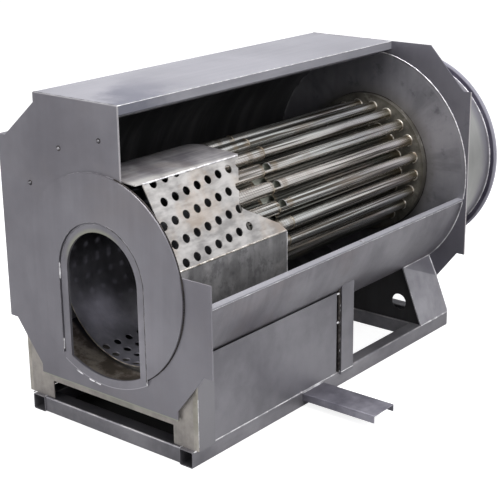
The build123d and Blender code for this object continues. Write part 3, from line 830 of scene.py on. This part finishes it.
perforated_finish, _, sheet_colour, sheet_rough, sheet_brush = bright_finish(
    "perforated_sheet", (0.28, 0.27, 0.265), (0.53, 0.512, 0.50), (0.40, 0.31, 0.235),
    (12.0, 12.0, 50.0))
perforated = perforated_finish.finish_with(
    colour=sheet_colour, rough=sheet_rough, height=sheet_brush, depth=0.0004)
print("perforated sheet ready")


# %% Crown: purple-grey brushed sheet with a painted highlight band along its near edge
HIGHLIGHT_BAND_X = 0.150
HIGHLIGHT_BAND_TAPER = 0.085


def crown_finish():
    """The painted highlight band is wide at the front and narrow at the rear: its inner edge is a
    line in x and y.
    """
    f, place, colour, roughness, brush = bright_finish(
        "crown_sheet", (0.20, 0.19, 0.21), (0.42, 0.405, 0.42), (0.27, 0.235, 0.22),
        (60.0, 2.2, 60.0))
    x, y, z = f.axes(place)
    along = y - front_y
    edge = x - HIGHLIGHT_BAND_X - along * HIGHLIGHT_BAND_TAPER + (f.noise(place, 9.0) - 0.5) * 0.06
    # Painted highlight: a bright band along the near edge.
    colour = f.blend(edge.over(0.0, 0.04) * 0.7, colour, (0.78, 0.76, 0.73))
    bands = f.noise(f.point(x * 3 + y * 1.2, y * 5, z), 1.0, 4.0, 0.6).over(0.50, 0.66)
    colour = f.blend(bands * 0.5, colour, (0.13, 0.12, 0.135))
    return f.finish_with(colour, roughness, brush, depth=0.0004)


crown_sheet = crown_finish()
print("crown ready")

# %% [markdown]
# ## Side plate and combustion drum
#
# Soot has run down the upright side plate, so its noise is stretched upwards. The drum is seen
# through the door only, and its upper wall is painted dark as shade. Pale spots in rows show on
# that dark wall; they sit on a grid of angle and station, as drilled rows do, and a faint glow
# stands for the light that comes through. A painted highlight on its left wall glows faintly as
# well.


# %% Side plate of the firebox: mottled grey with soot that runs down
def side_plate_finish():
    """Vertical soot runs over small clouds."""
    f, place, colour, roughness, height = plate_finish(
        "firebox_side_plate", (0.16, 0.157, 0.16), (0.34, 0.334, 0.34), metal=0.6,
        cloud_scale=8.0)
    runs = f.noise(f.stretched(place, (9.0, 9.0, 1.6)), 1.0, 5.0, 0.65)
    colour = f.blend(runs.over(0.50, 0.68) * 0.35, colour, (0.060, 0.058, 0.060))
    smudges = f.noise(place, 13.0, 5.0, 0.68).over(0.50, 0.64)
    colour = f.blend(smudges * 0.5, colour, (0.075, 0.073, 0.078))
    pale = f.noise(place, 7.0, 4.0, 0.6).over(0.48, 0.64)
    colour = f.blend(pale * 0.5, colour, (0.40, 0.385, 0.385))
    return f.finish_with(colour, roughness, height)


side_plate = side_plate_finish()
print("side plate ready")


# %% Combustion drum: bluish grey, with pale spots where light comes through its far holes
FIRST_ROW, ROW_STEP, ROW_ARC = 188.2, 10.52, 0.073
FIRST_COLUMN, COLUMN_STEP = 0.201, 0.0766
GLEAM_TURN = 138


def liner_finish():
    """Spots sit on a grid of angle and station, well above the drilled holes at the bottom.

    A gleam on the left wall, a painted highlight that glows faintly, is a soft patch of the same
    two measures.
    """
    f, place, colour, roughness, height = plate_finish(
        "drum_liner_sheet", (0.14, 0.138, 0.16), (0.33, 0.325, 0.37), metal=0.6, cloud_scale=6.0)
    x, y, z = f.axes(place)
    up = z - LINER_Z
    turn = f.node("Math", {"operation": "ARCTAN2"}, {0: up, 1: x}) * (180 / pi)
    row = ((turn + FIRST_ROW) / ROW_STEP + 100.5).fraction() - 0.5
    column = ((y - front_y - FIRST_COLUMN) / COLUMN_STEP + 100.5).fraction() - 0.5
    apart = ((row * ROW_ARC) ** 2 + (column * COLUMN_STEP) ** 2) ** 0.5
    free = (turn + 90).size() > 55
    spot = (1 - apart.over(0.004, 0.022)) * free * f.noise(place, 6.0, 2.0).over(0.25, 0.60)
    # Painted shade: the upper and right part of the wall is darkened.
    high = (up + x * 0.35).over(-0.26, -0.01)
    colour = f.blend(high * 0.92, colour, (0.014, 0.014, 0.015))
    colour = f.blend(spot * 0.35, colour, (0.10, 0.10, 0.115))
    gleam = f.noise(place, 7.0, 4.0, 0.6) * (1 - (turn + GLEAM_TURN).size().over(5, 24))
    gleam = gleam * (1 - (y - (front_y + 0.27)).size().over(0.03, 0.17))
    f.feed(f.shader.inputs["Emission Color"],
           f.blend(spot * 0.17 + gleam * 1.0, (0.0, 0.0, 0.0), (0.095, 0.092, 0.112)))
    f.shader.inputs["Emission Strength"].default_value = 1.0
    return f.finish_with(colour, roughness, height)


liner_sheet = liner_finish()
print("combustion drum ready")

# %% [markdown]
# ## Weld metal
#
# A fresh bead is brighter than the plate beside it, and it turns straw, then brown, where more heat
# stayed in the steel. One recipe with two end colours covers all of them; the dark one is used for
# narrow gaps, where a thin dark line reads as a shadow.


# %% Weld metal: from bright to straw, brown and nearly black
def weld_finish(name, dark, light, metal=0.8, rough=0.34):
    """Bead colour changes every few centimetres, as the heat did."""
    f = Finish(name, metallic=metal)
    place = f.place()
    heat = f.noise(place, 26.0, 3.0, 0.6)
    grain = f.noise(place, 160.0, 2.0, 0.6)
    colour = f.blend(heat.over(0.32, 0.68), dark, light)
    return f.finish_with(colour=colour, rough=rough + grain * 0.2, height=grain, depth=0.0006)


weld_bright = weld_finish("weld_bright", (0.45, 0.44, 0.46), (0.92, 0.91, 0.92), metal=0.5)
weld_grey = weld_finish("weld_grey", (0.16, 0.155, 0.17), (0.40, 0.39, 0.41))
weld_straw = weld_finish("weld_straw", (0.12, 0.085, 0.055), (0.42, 0.37, 0.28), rough=0.28)
weld_pale = weld_finish("weld_pale", (0.20, 0.165, 0.13), (0.80, 0.77, 0.72), rough=0.26)
weld_dark = weld_finish("weld_dark", (0.025, 0.022, 0.022), (0.075, 0.066, 0.060), rough=0.45)
print("weld finishes ready")

# %% [markdown]
# ## Dress the solids
#
# Each solid keeps its shape and takes one of the finishes above. The table runs from the finish to
# the names, so a finish that several plates share is written once. A solid without a slot gets one;
# the others have what is in their slots replaced.

# %% Give each solid its finish
dressing = {
    casing: ("front_ring", "side_cover"),
    front_casing: ("front_plate",),
    door_band: ("door_frame",),
    drum_steel: ("smokebox_drum",),
    flange_steel: ("smokebox_flange",),
    rear_casing: ("rear_plate",),
    cover: ("top_cover", "rim_flange"),
    shell_plate: ("shell_lower", "shell_upper"),
    frame_steel: ("rail_right", "rail_left", "front_beam", "rear_beam", "end_beam"),
    outrigger_steel: ("outrigger_right", "outrigger_left"),
    saddle_steel: ("saddle_side_right", "saddle_side_left"),
    web_steel: ("saddle_web",),
    air_box: ("skirt_right", "skirt_left", "skirt_back", "post_right", "post_left"),
    corner_steel: ("skirt_corner_right", "skirt_corner_left"),
    skirt_steel: ("skirt_front",),
    perforated: ("firebox_sheet",),
    crown_sheet: ("firebox_crown", "firebox_slope"),
    side_plate: ("firebox_side_right", "firebox_side_left"),
    liner_sheet: ("combustion_drum",),
    dark_plate: ("drum_cradle_front", "drum_cradle_rear", "front_tube_plate"),
    tube_plate_steel: ("rear_tube_plate",),
    tube_steel: tuple(n for n in node_objects if n.startswith("outer_tube_")),
    inner_tube_painted_shade: ("inner_tubes", "outer_tubes_lower"),
}
dressed = 0
for finish_material, names in dressing.items():
    for name in names:
        item = node_objects[name]
        if not item.material_slots:
            item.data.materials.append(finish_material)
        for material_slot in item.material_slots:
            material_slot.material = finish_material
        dressed += 1
print("solids dressed:", dressed, "of", len(node_objects))

# %% [markdown]
# ## Beads and turned heads as skins along a path
#
# A weld bead is a thin round profile that follows a seam and swells a little every few
# millimetres, where the welder paused. A domed bolt head is the same kind of skin along a short
# straight axis, with its radius read from a profile. So one function makes both: it lays rings of
# points along a path, each with its own radius, and joins them with four-sided faces.


# %% Skin along a path
def skin(path_points, ahead, radii, hint, closed=False, sides=6):
    """Points = path + radius * (cos a * first + sin a * second), in rings, joined by quads.

    first and second are unit vectors square to the path's direction; hint is any direction that
    the path never takes. An open skin gets flat caps made of quads, so sides is even.
    """
    first = np.cross(ahead, hint)
    first /= np.linalg.norm(first, axis=1, keepdims=True)
    second = np.cross(ahead, first)
    angle = np.arange(sides) * 2 * pi / sides
    ring = np.cos(angle)[None, :, None] * first[:, None, :]
    ring = ring + np.sin(angle)[None, :, None] * second[:, None, :]
    points = path_points[:, None, :] + radii[:, None, None] * ring
    count = len(path_points)
    i = np.arange(count if closed else count - 1)[:, None]
    j = np.arange(sides)[None, :]
    after = (i + 1) % count
    beside = (j + 1) % sides
    quads = np.stack([i * sides + j, i * sides + beside, after * sides + beside,
                      after * sides + j], axis=-1).reshape(-1, 4)
    if not closed:
        k = np.arange(1, sides - 2, 2)
        cap = np.stack([np.zeros_like(k), k, k + 1, k + 2], axis=-1)
        quads = np.concatenate([quads, cap[:, ::-1], cap + (count - 1) * sides])
    return points.reshape(-1, 3), quads


print("skin ready")


# %% Bead: a skin whose radius swells and sinks like a weld
def bead(path_points, radius, hint=(0.0, 0.0, 1.0), closed=False, ripple=0.012, seed=0.0):
    """Weld bead: r(s) = radius * (1 + 0.15 sin(2 pi s / ripple) + 0.12 sin(31 s) + 0.1 sin(83 s)).

    s is the length along the path. An open bead fades to a third of its radius at both ends.
    """
    path_points = np.asarray(path_points, float)
    if closed:
        ahead = np.roll(path_points, -1, axis=0) - np.roll(path_points, 1, axis=0)
    else:
        ahead = np.gradient(path_points, axis=0)
    ahead /= np.linalg.norm(ahead, axis=1, keepdims=True)
    steps = np.linalg.norm(np.diff(path_points, axis=0), axis=1)
    s = np.concatenate([[0.0], np.cumsum(steps)])
    swell = 1 + 0.15 * np.sin(2 * pi * s / ripple)
    swell += 0.12 * np.sin(31 * s + seed) + 0.10 * np.sin(83 * s + 2 * seed)
    if not closed:
        to_end = np.minimum(s, s[-1] - s) / (2.5 * radius)
        swell *= 0.33 + 0.67 * np.sqrt(np.clip(to_end, 0, 1))
    return skin(path_points, ahead, radius * swell, hint, closed)


print("bead ready")


# %% Paths: a straight line and an arc
def straight(start, end, step=0.004):
    """Evenly spaced points from start to end."""
    length = np.linalg.norm(np.subtract(end, start))
    return np.linspace(start, end, max(5, int(length / step)))


def around(centre_x, centre_z, radius, y, start=0.0, end=360.0, step=0.004):
    """Points on a circle in a cross plane, from one angle to another in degrees."""
    whole = abs(end - start) >= 360.0
    count = max(12, int(radians(abs(end - start)) * radius / step))
    a = np.radians(np.linspace(start, end, count, endpoint=not whole))
    return np.stack([centre_x + radius * np.cos(a), np.full(count, y),
                     centre_z + radius * np.sin(a)], axis=1)


print("points on one metre of seam:", len(straight((0, 0, 0), (0, 1, 0))))


# %% Piece: several skins in one object that is fixed to the boiler
def piece(name, parts, material):
    """One smooth object from several skins, fixed to the boiler."""
    counts = np.cumsum([0] + [len(points) for points, _ in parts[:-1]])
    points = np.concatenate([p for p, _ in parts])
    quads = np.concatenate([q + start for (_, q), start in zip(parts, counts)])
    mesh = bpy.data.meshes.new(name)
    mesh.from_pydata(points.tolist(), [], quads.tolist())
    mesh.polygons.foreach_set("use_smooth", np.ones(len(quads), bool))
    mesh.materials.append(material)
    item = bpy.data.objects.new(name, mesh)
    scene.collection.objects.link(item)
    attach(item, "root")
    print(name, "faces:", len(quads))
    return item


CROSS = (0.0, 1.0, 0.0)
print("beads in a cross plane take the hint", CROSS)

# %% [markdown]
# ## Seams of the shell and the end plates
#
# The shell is welded to both end plates all round. Where its wall is cut away the seam stays on
# the rear plate as a bright circle, which is one of the clearest lines in the photo. The rim of
# the trough, the disc round the door and the smokebox flange have beads of their own.

# %% Bright circle on the rear plate and dull seams inside and outside the shell
# Angles in degrees from +X: where the cut meets the cover, the rim of the trough, the rim again.
CUT_TOP = 83.6
RIM_ANGLE = -11.4
ROUND_TO_RIM = 348.6
inner_face = rear_low.y
piece("shell_seam_bright", [
    bead(around(0, SHELL_Z, SHELL_R + 0.001, inner_face - 0.0005, RIM_ANGLE + 0.5, CUT_TOP),
         0.0027, hint=CROSS, ripple=0.021),
    bead(around(0, SHELL_Z, SHELL_R + 0.0015, inner_face - 0.0005, -62, RIM_ANGLE - 0.5),
         0.0022, hint=CROSS, seed=1.0),
    bead(around(0, DRUM_Z, DRUM_R + 0.001, drum_high.y - 0.001, -40, 75), 0.0024, hint=CROSS,
         ripple=0.025, seed=2.0),
], weld_bright)
piece("shell_seam_dull", [
    bead(around(0, SHELL_Z, SHELL_R - 0.0095, inner_face - 0.001, CUT_TOP, ROUND_TO_RIM),
         0.004, hint=CROSS),
    bead(around(0, SHELL_Z, SHELL_R - 0.0095, plate_high.y + 0.001, CUT_TOP, ROUND_TO_RIM),
         0.004, hint=CROSS, seed=3.0),
    bead(around(0, SHELL_Z, SHELL_R + 0.0015, inner_face - 0.0015, CUT_TOP, 298), 0.0036,
         hint=CROSS, seed=4.0),
    bead(around(0, SHELL_Z, SHELL_R + 0.0015, plate_high.y + 0.0015, CUT_TOP, ROUND_TO_RIM),
         0.0036, hint=CROSS, seed=5.0),
    bead(around(0, DRUM_Z, DRUM_R + 0.001, drum_low.y + 0.0015), 0.0032, hint=CROSS,
         closed=True, seed=6.0),
    bead(around(0, DRUM_Z, DRUM_R + 0.001, drum_high.y - 0.001, 75, 320), 0.0024, hint=CROSS,
         seed=7.0),
], weld_grey)

# %% Fine bead round the disc, and the seams of the covers
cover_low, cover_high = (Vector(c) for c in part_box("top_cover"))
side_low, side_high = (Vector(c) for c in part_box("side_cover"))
piece("disc_edge_shadow", [
    bead(around(0, DISC_Z, DISC_R + 0.001, plate_low.y - 0.001, -70, 78), 0.0034, hint=CROSS),
], weld_dark)
cover_seams = [
    bead(around(0, DISC_Z, DISC_R + 0.0004, plate_low.y - 0.001, 78, 290), 0.0016, hint=CROSS)
]
for y, seed in ((plate_high.y, 0.0), (rear_low.y, 1.0)):
    cover_seams.append(bead(straight((cover_low.x, y, cover_high.z),
                                     (cover_high.x, y, cover_high.z)), 0.0022, seed=seed))
for y in (plate_high.y, rear_low.y):
    cover_seams.append(bead(straight((side_low.x, y, side_low.z),
                                     (side_low.x, y, side_high.z)), 0.0022, hint=CROSS))
piece("disc_and_cover_seams", cover_seams, weld_grey)

# %% [markdown]
# ## Edges of the cover and the trough
#
# The fold of the cover is polished by hands and slings and catches the lamp as one thin line. The
# rim of the trough has a bead below it and one rough notch of weld on top. A thin skin along each
# edge gives the line its own highlight, which a painted line on a flat face never has.

# %% Worn upper edge of the cover
piece("cover_edge", [
    bead(straight((cover_high.x - 0.0006, plate_low.y + 0.002, cover_high.z - 0.0006),
                  (cover_high.x - 0.0006, rear_low.y, cover_high.z - 0.0006)), 0.0014,
         ripple=0.05),
], weld_bright)

# %% Bead under the rim of the trough, with a notch a little past the middle
rim_x = rim_high.x - 0.002
notch_y = front_y + 1.152
piece("rim_seam", [
    bead(straight((rim_x, rim_low.y + 0.004, rim_low.z), (rim_x, rim_high.y - 0.004, rim_low.z)),
         0.0022),
    bead(straight((rim_low.x, rim_low.y + 0.004, rim_low.z + 0.001),
                  (rim_low.x, rim_high.y - 0.004, rim_low.z + 0.001)), 0.0025, seed=1.0),
], weld_bright)
piece("rim_notch", [
    bead(straight((rim_x - 0.030, notch_y, rim_high.z), (rim_x + 0.001, notch_y, rim_high.z)),
         0.0040, hint=CROSS),
    bead(straight((rim_x + 0.001, notch_y - 0.012, rim_high.z),
                  (rim_x + 0.001, notch_y + 0.016, rim_high.z)), 0.004, seed=2.0),
], weld_grey)

# %% [markdown]
# ## Welds of the base frame
#
# The panels, posts and saddle plates stand on the rails, so their lower edges are where the light
# catches a bead. Short tacks hold the corners; they are the same skin, only a few millimetres long.

# %% Beads along the rails, the post, the saddle and the outriggers
out = rail_high.x
top = rail_high.z
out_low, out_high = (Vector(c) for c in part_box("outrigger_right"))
base_parts = []
for side in (1, -1):
    sx = side * out
    base_parts += [
        bead(straight((sx + side * 0.001, front_y + 0.135, top),
                      (sx + side * 0.001, panel_high.y, top)), 0.0028, seed=side),
        bead(straight((sx + side * 0.012, post_low.y, top + 0.001),
                      (sx + side * 0.012, post_high.y, top + 0.001)), 0.002),
        bead(straight((sx, post_low.y - 0.0005, top),
                      (sx, post_low.y - 0.0005, post_high.z - 0.02)), 0.0028, hint=CROSS, seed=2.0),
        bead(straight((sx, post_high.y, top), (sx, post_high.y, post_high.z - 0.02)), 0.0028,
             hint=CROSS, seed=3.0),
        bead(straight((sx + side * 0.001, saddle_low.y, top + 0.001),
                      (sx + side * 0.001, saddle_high.y, top + 0.001)), 0.0040, seed=4.0),
        bead(straight((side * out_low.x, out_low.y, out_high.z),
                      (side * out_low.x, out_high.y, out_high.z)), 0.0040, seed=5.0),
        bead(straight((side * rail_low.x, rear_low.y - 0.02, top),
                      (side * rail_low.x, rear_low.y + 0.055, top)), 0.0036, seed=7.0),
    ]
piece("base_frame_welds", base_parts, weld_bright)

# %% Saddle seams up to the rear plate and along the shell
bend_rear = (0.470, rear_low.y - 0.0015, SADDLE_BEND_Z)
head_rear = (0.4165, rear_low.y - 0.0015, 0.414)
head_front = (0.3880, saddle_low.y, SADDLE_HEAD_Z)
saddle_parts = []
for side in (1, -1):
    turned_side = np.array([side, 1.0, 1.0])
    saddle_parts += [
        bead(straight(bend_rear, head_rear) * turned_side, 0.0032, hint=CROSS, seed=1.0),
        bead(straight(head_front, head_rear) * turned_side + [side * 0.0015, 0, -0.001], 0.0032,
             seed=2.0),
        bead(straight((rail_high.x - 0.003, saddle_low.y + 0.001, top + 0.004),
                      (0.3935, saddle_low.y + 0.001, 0.372)) * turned_side, 0.0015, hint=CROSS,
             seed=3.0),
    ]
piece("saddle_welds", saddle_parts, weld_bright)

# %% Tacks: gap beside the post, corners of the rails, gap round the door frame
gap_y = (panel_high.y + post_low.y) / 2
POST_TACKS = (0.497, 0.346)
DOOR_X = 0.2615
DOOR_TACKS = (
    (-DOOR_X, 0.72, 0.80, 0.0035), (-DOOR_X, 0.375, 0.43, 0.0030), (DOOR_X, 0.73, 0.80, 0.0026),
    (DOOR_X, 0.55, 0.61, 0.0026), (DOOR_X, 0.33, 0.37, 0.0026),
)
FOOT_R = 0.5125
FOOT_TACKS = ((248.5, 253.5, 0.0036), (258.0, 262.0, 0.0030), (262.6, 266.5, 0.0036))
tacks = [
    bead(straight((out - 0.002, gap_y - 0.012, height), (out - 0.002, gap_y + 0.012, height),
                  0.003), 0.006, seed=float(order))
    for order, height in enumerate(POST_TACKS)
]
for side in (1, -1):
    for x in (out + 0.004, rail_low.x + 0.002):
        tacks.append(bead(straight((side * x, front_y + 0.003, top + 0.001),
                                   (side * x, front_y + 0.028, top + 0.001), 0.003), 0.0036,
                          seed=x * 40))
    tacks.append(bead(straight((side * (out + 0.003), out_low.y - 0.022, top + 0.002),
                               (side * (out + 0.003), out_low.y + 0.002, top + 0.002), 0.003),
                      0.006, seed=side))
door_y = ring_low.y + 0.004
for x, low, high, size in DOOR_TACKS:
    tacks.append(bead(straight((x, door_y, low), (x, door_y, high), 0.003), size, hint=CROSS,
                      ripple=0.02, seed=low * 9))
for start, end, size in FOOT_TACKS:
    tacks.append(bead(around(0, DISC_Z, FOOT_R, door_y, start, end, 0.003), size, hint=CROSS,
                      ripple=0.009, seed=start))
for side in (1, -1):
    tacks.append(bead(straight((side * (corner_high.x - 0.0025), corner_low.y + 0.0035, 0.10),
                               (side * (corner_high.x - 0.0025), corner_low.y + 0.0035, 0.33)),
                      0.0014, hint=CROSS, seed=side * 2.0))
piece("tack_welds", tacks, weld_bright)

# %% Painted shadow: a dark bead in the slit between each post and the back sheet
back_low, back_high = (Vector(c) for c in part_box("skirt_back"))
slit_x = (back_high.x + out) / 2
piece("back_slit_shadow", [
    bead(straight((side * slit_x, back_high.y - 0.002, top + 0.002),
                  (side * slit_x, back_high.y - 0.002, post_high.z - 0.012)), 0.0095, hint=CROSS,
         ripple=0.03, seed=side)
    for side in (1, -1)
], weld_dark)

# %% [markdown]
# ## Edge lines round the fire door
#
# The frame is set a little back inside the disc, which leaves a worn bright edge and a dark gap.
# Both follow the arch, the jambs and the round foot. One outline, drawn at three sizes, gives every
# line; its points come from the direction seen from the arch centre.


# %% Outline of the arched door
DISC_EDGE = (0.2645, 0.5155)
GAP_LINE = (0.2623, 0.5133)
FRAME_EDGE = (0.2545, 0.5075)
LINER_R = 0.397
LINER_FRONT = front_y + 0.1315


def door_line(half, foot_radius, y, turn_from, turn_to, step=0.004):
    """Points on the arched outline from one direction to another, seen from the arch centre.

    At each direction the outline is the nearest of three: the arch or the jamb at that width,
    and the foot circle. cos and sin of the direction give the ray.
    """
    count = int(abs(turn_to - turn_from) * pi / 180 * foot_radius / step)
    a = np.radians(np.linspace(turn_from, turn_to, count))
    jamb = half / np.maximum(np.abs(np.cos(a)), 1e-6)
    reach = np.where(np.sin(a) >= 0, half, np.minimum(jamb, foot_radius))
    return np.stack([reach * np.cos(a), np.full(count, y), DISC_Z + reach * np.sin(a)], axis=1)


print("points on the disc's edge:", len(door_line(*DISC_EDGE, ring_low.y, -58, 150)))

# %% Worn edges of the disc, the frame and the combustion drum, and the dark gap
piece("door_edge_bright", [
    bead(door_line(*DISC_EDGE, ring_low.y + 0.0005, -58, 150), 0.0013, hint=CROSS,
         ripple=0.05),
    bead(door_line(*DISC_EDGE, ring_low.y + 0.0005, 178, 238), 0.0010, hint=CROSS,
         ripple=0.05, seed=1.0),
    bead(door_line(*FRAME_EDGE, ring_low.y + 0.0065, 20, 165), 0.0012, hint=CROSS,
         ripple=0.04, seed=2.0),
], weld_grey)
piece("drum_front_edge", [
    bead(around(0, LINER_Z, LINER_R, LINER_FRONT, 165, 300), 0.0017, hint=CROSS, ripple=0.04),
], weld_straw)
piece("door_gap_shadow", [
    bead(door_line(*GAP_LINE, ring_low.y + 0.0012, -58, 78), 0.0022, hint=CROSS,
         ripple=0.06),
], weld_dark)

# %% [markdown]
# ## Welds of the firebox and the tubes
#
# The perforated sheet meets the crown and the side plate in two long rough beads. Each tube has a
# collar of weld metal where it enters the rear tube plate and a joint ring where its thicker
# front length ends; the heat has turned these straw and brown.

# %% Two long beads of the firebox and the rear edge of its side plate
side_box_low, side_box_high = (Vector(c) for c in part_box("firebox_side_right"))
peak = (sheet_low.x + 0.0045, sheet_high.z - 0.0005)
foot = (sheet_high.x - 0.0005, sheet_low.z + 0.003)
SHEET_TOP_LENGTH = 0.637
sheet_rear = sheet_low.y + SHEET_TOP_LENGTH
piece("firebox_foot_bead", [
    bead(straight((foot[0], sheet_low.y + 0.002, foot[1]),
                  (foot[0], sheet_high.y - 0.004, foot[1])), 0.0042, ripple=0.016, seed=1.0),
], weld_pale)
piece("firebox_beads", [
    bead(straight((peak[0], sheet_low.y + 0.002, peak[1]), (peak[0], sheet_rear - 0.002, peak[1])),
         0.0040, ripple=0.016),
    bead(straight((side_box_high.x, side_box_high.y - 0.001, 0.47),
                  (side_box_high.x, side_box_high.y - 0.001, side_box_high.z - 0.006)), 0.0026,
         hint=CROSS, seed=2.0),
], weld_bright)


# %% Collars where the tubes enter the rear tube plate
def tube_centres(ring_radius, count, first_angle):
    """Centres of the tubes of one ring, clockwise from the first angle."""
    a = np.radians(first_angle - 360.0 / count * np.arange(count))
    return np.stack([ring_radius * np.cos(a), TUBE_Z + ring_radius * np.sin(a)], axis=1)


outer_centres = tube_centres(OUTER_RING_R, OUTER_COUNT, 90 + 180 / OUTER_COUNT)
inner_centres = tube_centres(INNER_RING_R, INNER_COUNT, 90)
plate_face = tube_plate_low.y
collars = [
    bead(around(cx, cz, TUBE_R + 0.001, plate_face - 0.001, step=0.009), 0.0036, hint=CROSS,
         closed=True, ripple=0.018, seed=cx * 50)
    for cx, cz in np.concatenate([outer_centres, inner_centres])
]
piece("tube_collars", collars, weld_pale)

# %% Joint rings of the nine tubes beside the opening; three of them are cut away
LONG_JOINT = front_y + 0.947
SHORT_JOINT = front_y + 0.847
MOUTH = front_y + 0.902
NOTCH_FACING = 95
joints = []
mouths = []
NEAR_TUBES = 9
NOTCHED_TUBES = (3, 4, 5)
for index, (cx, cz) in enumerate(outer_centres[:NEAR_TUBES]):
    notched = index in NOTCHED_TUBES
    ring_y = SHORT_JOINT if notched else LONG_JOINT
    ring_r = TUBE_R + (0.0035 if notched else 0.003)
    inward = 1 - 0.002 / OUTER_RING_R
    if notched:
        joints.append(bead(around(cx * inward, TUBE_Z + (cz - TUBE_Z) * inward, ring_r, ring_y,
                                  NOTCH_FACING + 92, NOTCH_FACING + 268, 0.006), 0.003,
                           hint=CROSS, seed=index))
        mouths.append(bead(around(cx, cz, TUBE_R - 0.0012, MOUTH, NOTCH_FACING - 90,
                                  NOTCH_FACING + 90, 0.004), 0.0013, hint=CROSS, seed=index))
    else:
        joints.append(bead(around(cx * inward, TUBE_Z + (cz - TUBE_Z) * inward, ring_r, ring_y,
                                  step=0.006), 0.003, hint=CROSS, closed=True, seed=index))
piece("tube_joint_rings", joints, weld_straw)
piece("tube_mouth_rims", mouths, weld_grey)

# %% [markdown]
# ## Far side of the tube plate
#
# Seen from the back, each tube end is expanded into its hole and shows as a thin raised ring. The
# plate itself is welded in all round. Both are closed beads, so they have no ends to hide.

# %% Tube ends on the far side and the seam round the plate
far_face = tube_plate_high.y
tube_ends = [
    bead(around(cx, cz, TUBE_R - 0.003, far_face + 0.0005, step=0.009), 0.0022, hint=CROSS,
         closed=True, seed=cz * 30)
    for cx, cz in np.concatenate([outer_centres, inner_centres])
]
piece("tube_end_beads", tube_ends, weld_grey)
piece("tube_plate_seam", [
    bead(around(0, TUBE_Z, TUBE_PLATE_R + 0.001, far_face - 0.002), 0.0030, hint=CROSS,
         closed=True),
], weld_dark)

# %% [markdown]
# ## Small bolts on the front plate
#
# Three small domed heads sit above the disc. Each is a turned skin: a thin washer, then a dome
# whose radius falls off like a quarter circle.

# %% Domed heads from a profile
HEAD_R = 0.0070
HEAD_RISE = 0.0070
BOLT_PLACES = ((-0.232, 1.332), (0.021, 1.400), (-0.434, 1.143))


def domed_head(x, z):
    """Heights and radii of a washer and a dome along -Y; the dome's r = R sqrt(1 - h^2 / H^2)."""
    h = np.linspace(0.0, 0.97, 9)
    heights = np.concatenate([[-0.001, 0.0015], 0.0016 + HEAD_RISE * h])
    radii = np.concatenate([[HEAD_R * 1.25] * 2, HEAD_R * np.sqrt(1 - h * h)])
    centres = np.stack([np.full(len(h) + 2, x), plate_low.y - heights, np.full(len(h) + 2, z)],
                       axis=1)
    ahead = np.tile([0.0, -1.0, 0.0], (len(h) + 2, 1))
    return skin(centres, ahead, radii, (0.0, 0.0, 1.0), sides=16)


piece("plate_bolts", [domed_head(x, z) for x, z in BOLT_PLACES], weld_grey)
piece("plate_bolt_rings", [
    bead(around(x, z, HEAD_R * 1.25 + 0.0012, plate_low.y - 0.0004, step=0.003), 0.0018,
         hint=CROSS, closed=True)
    for x, z in BOLT_PLACES
], weld_dark)
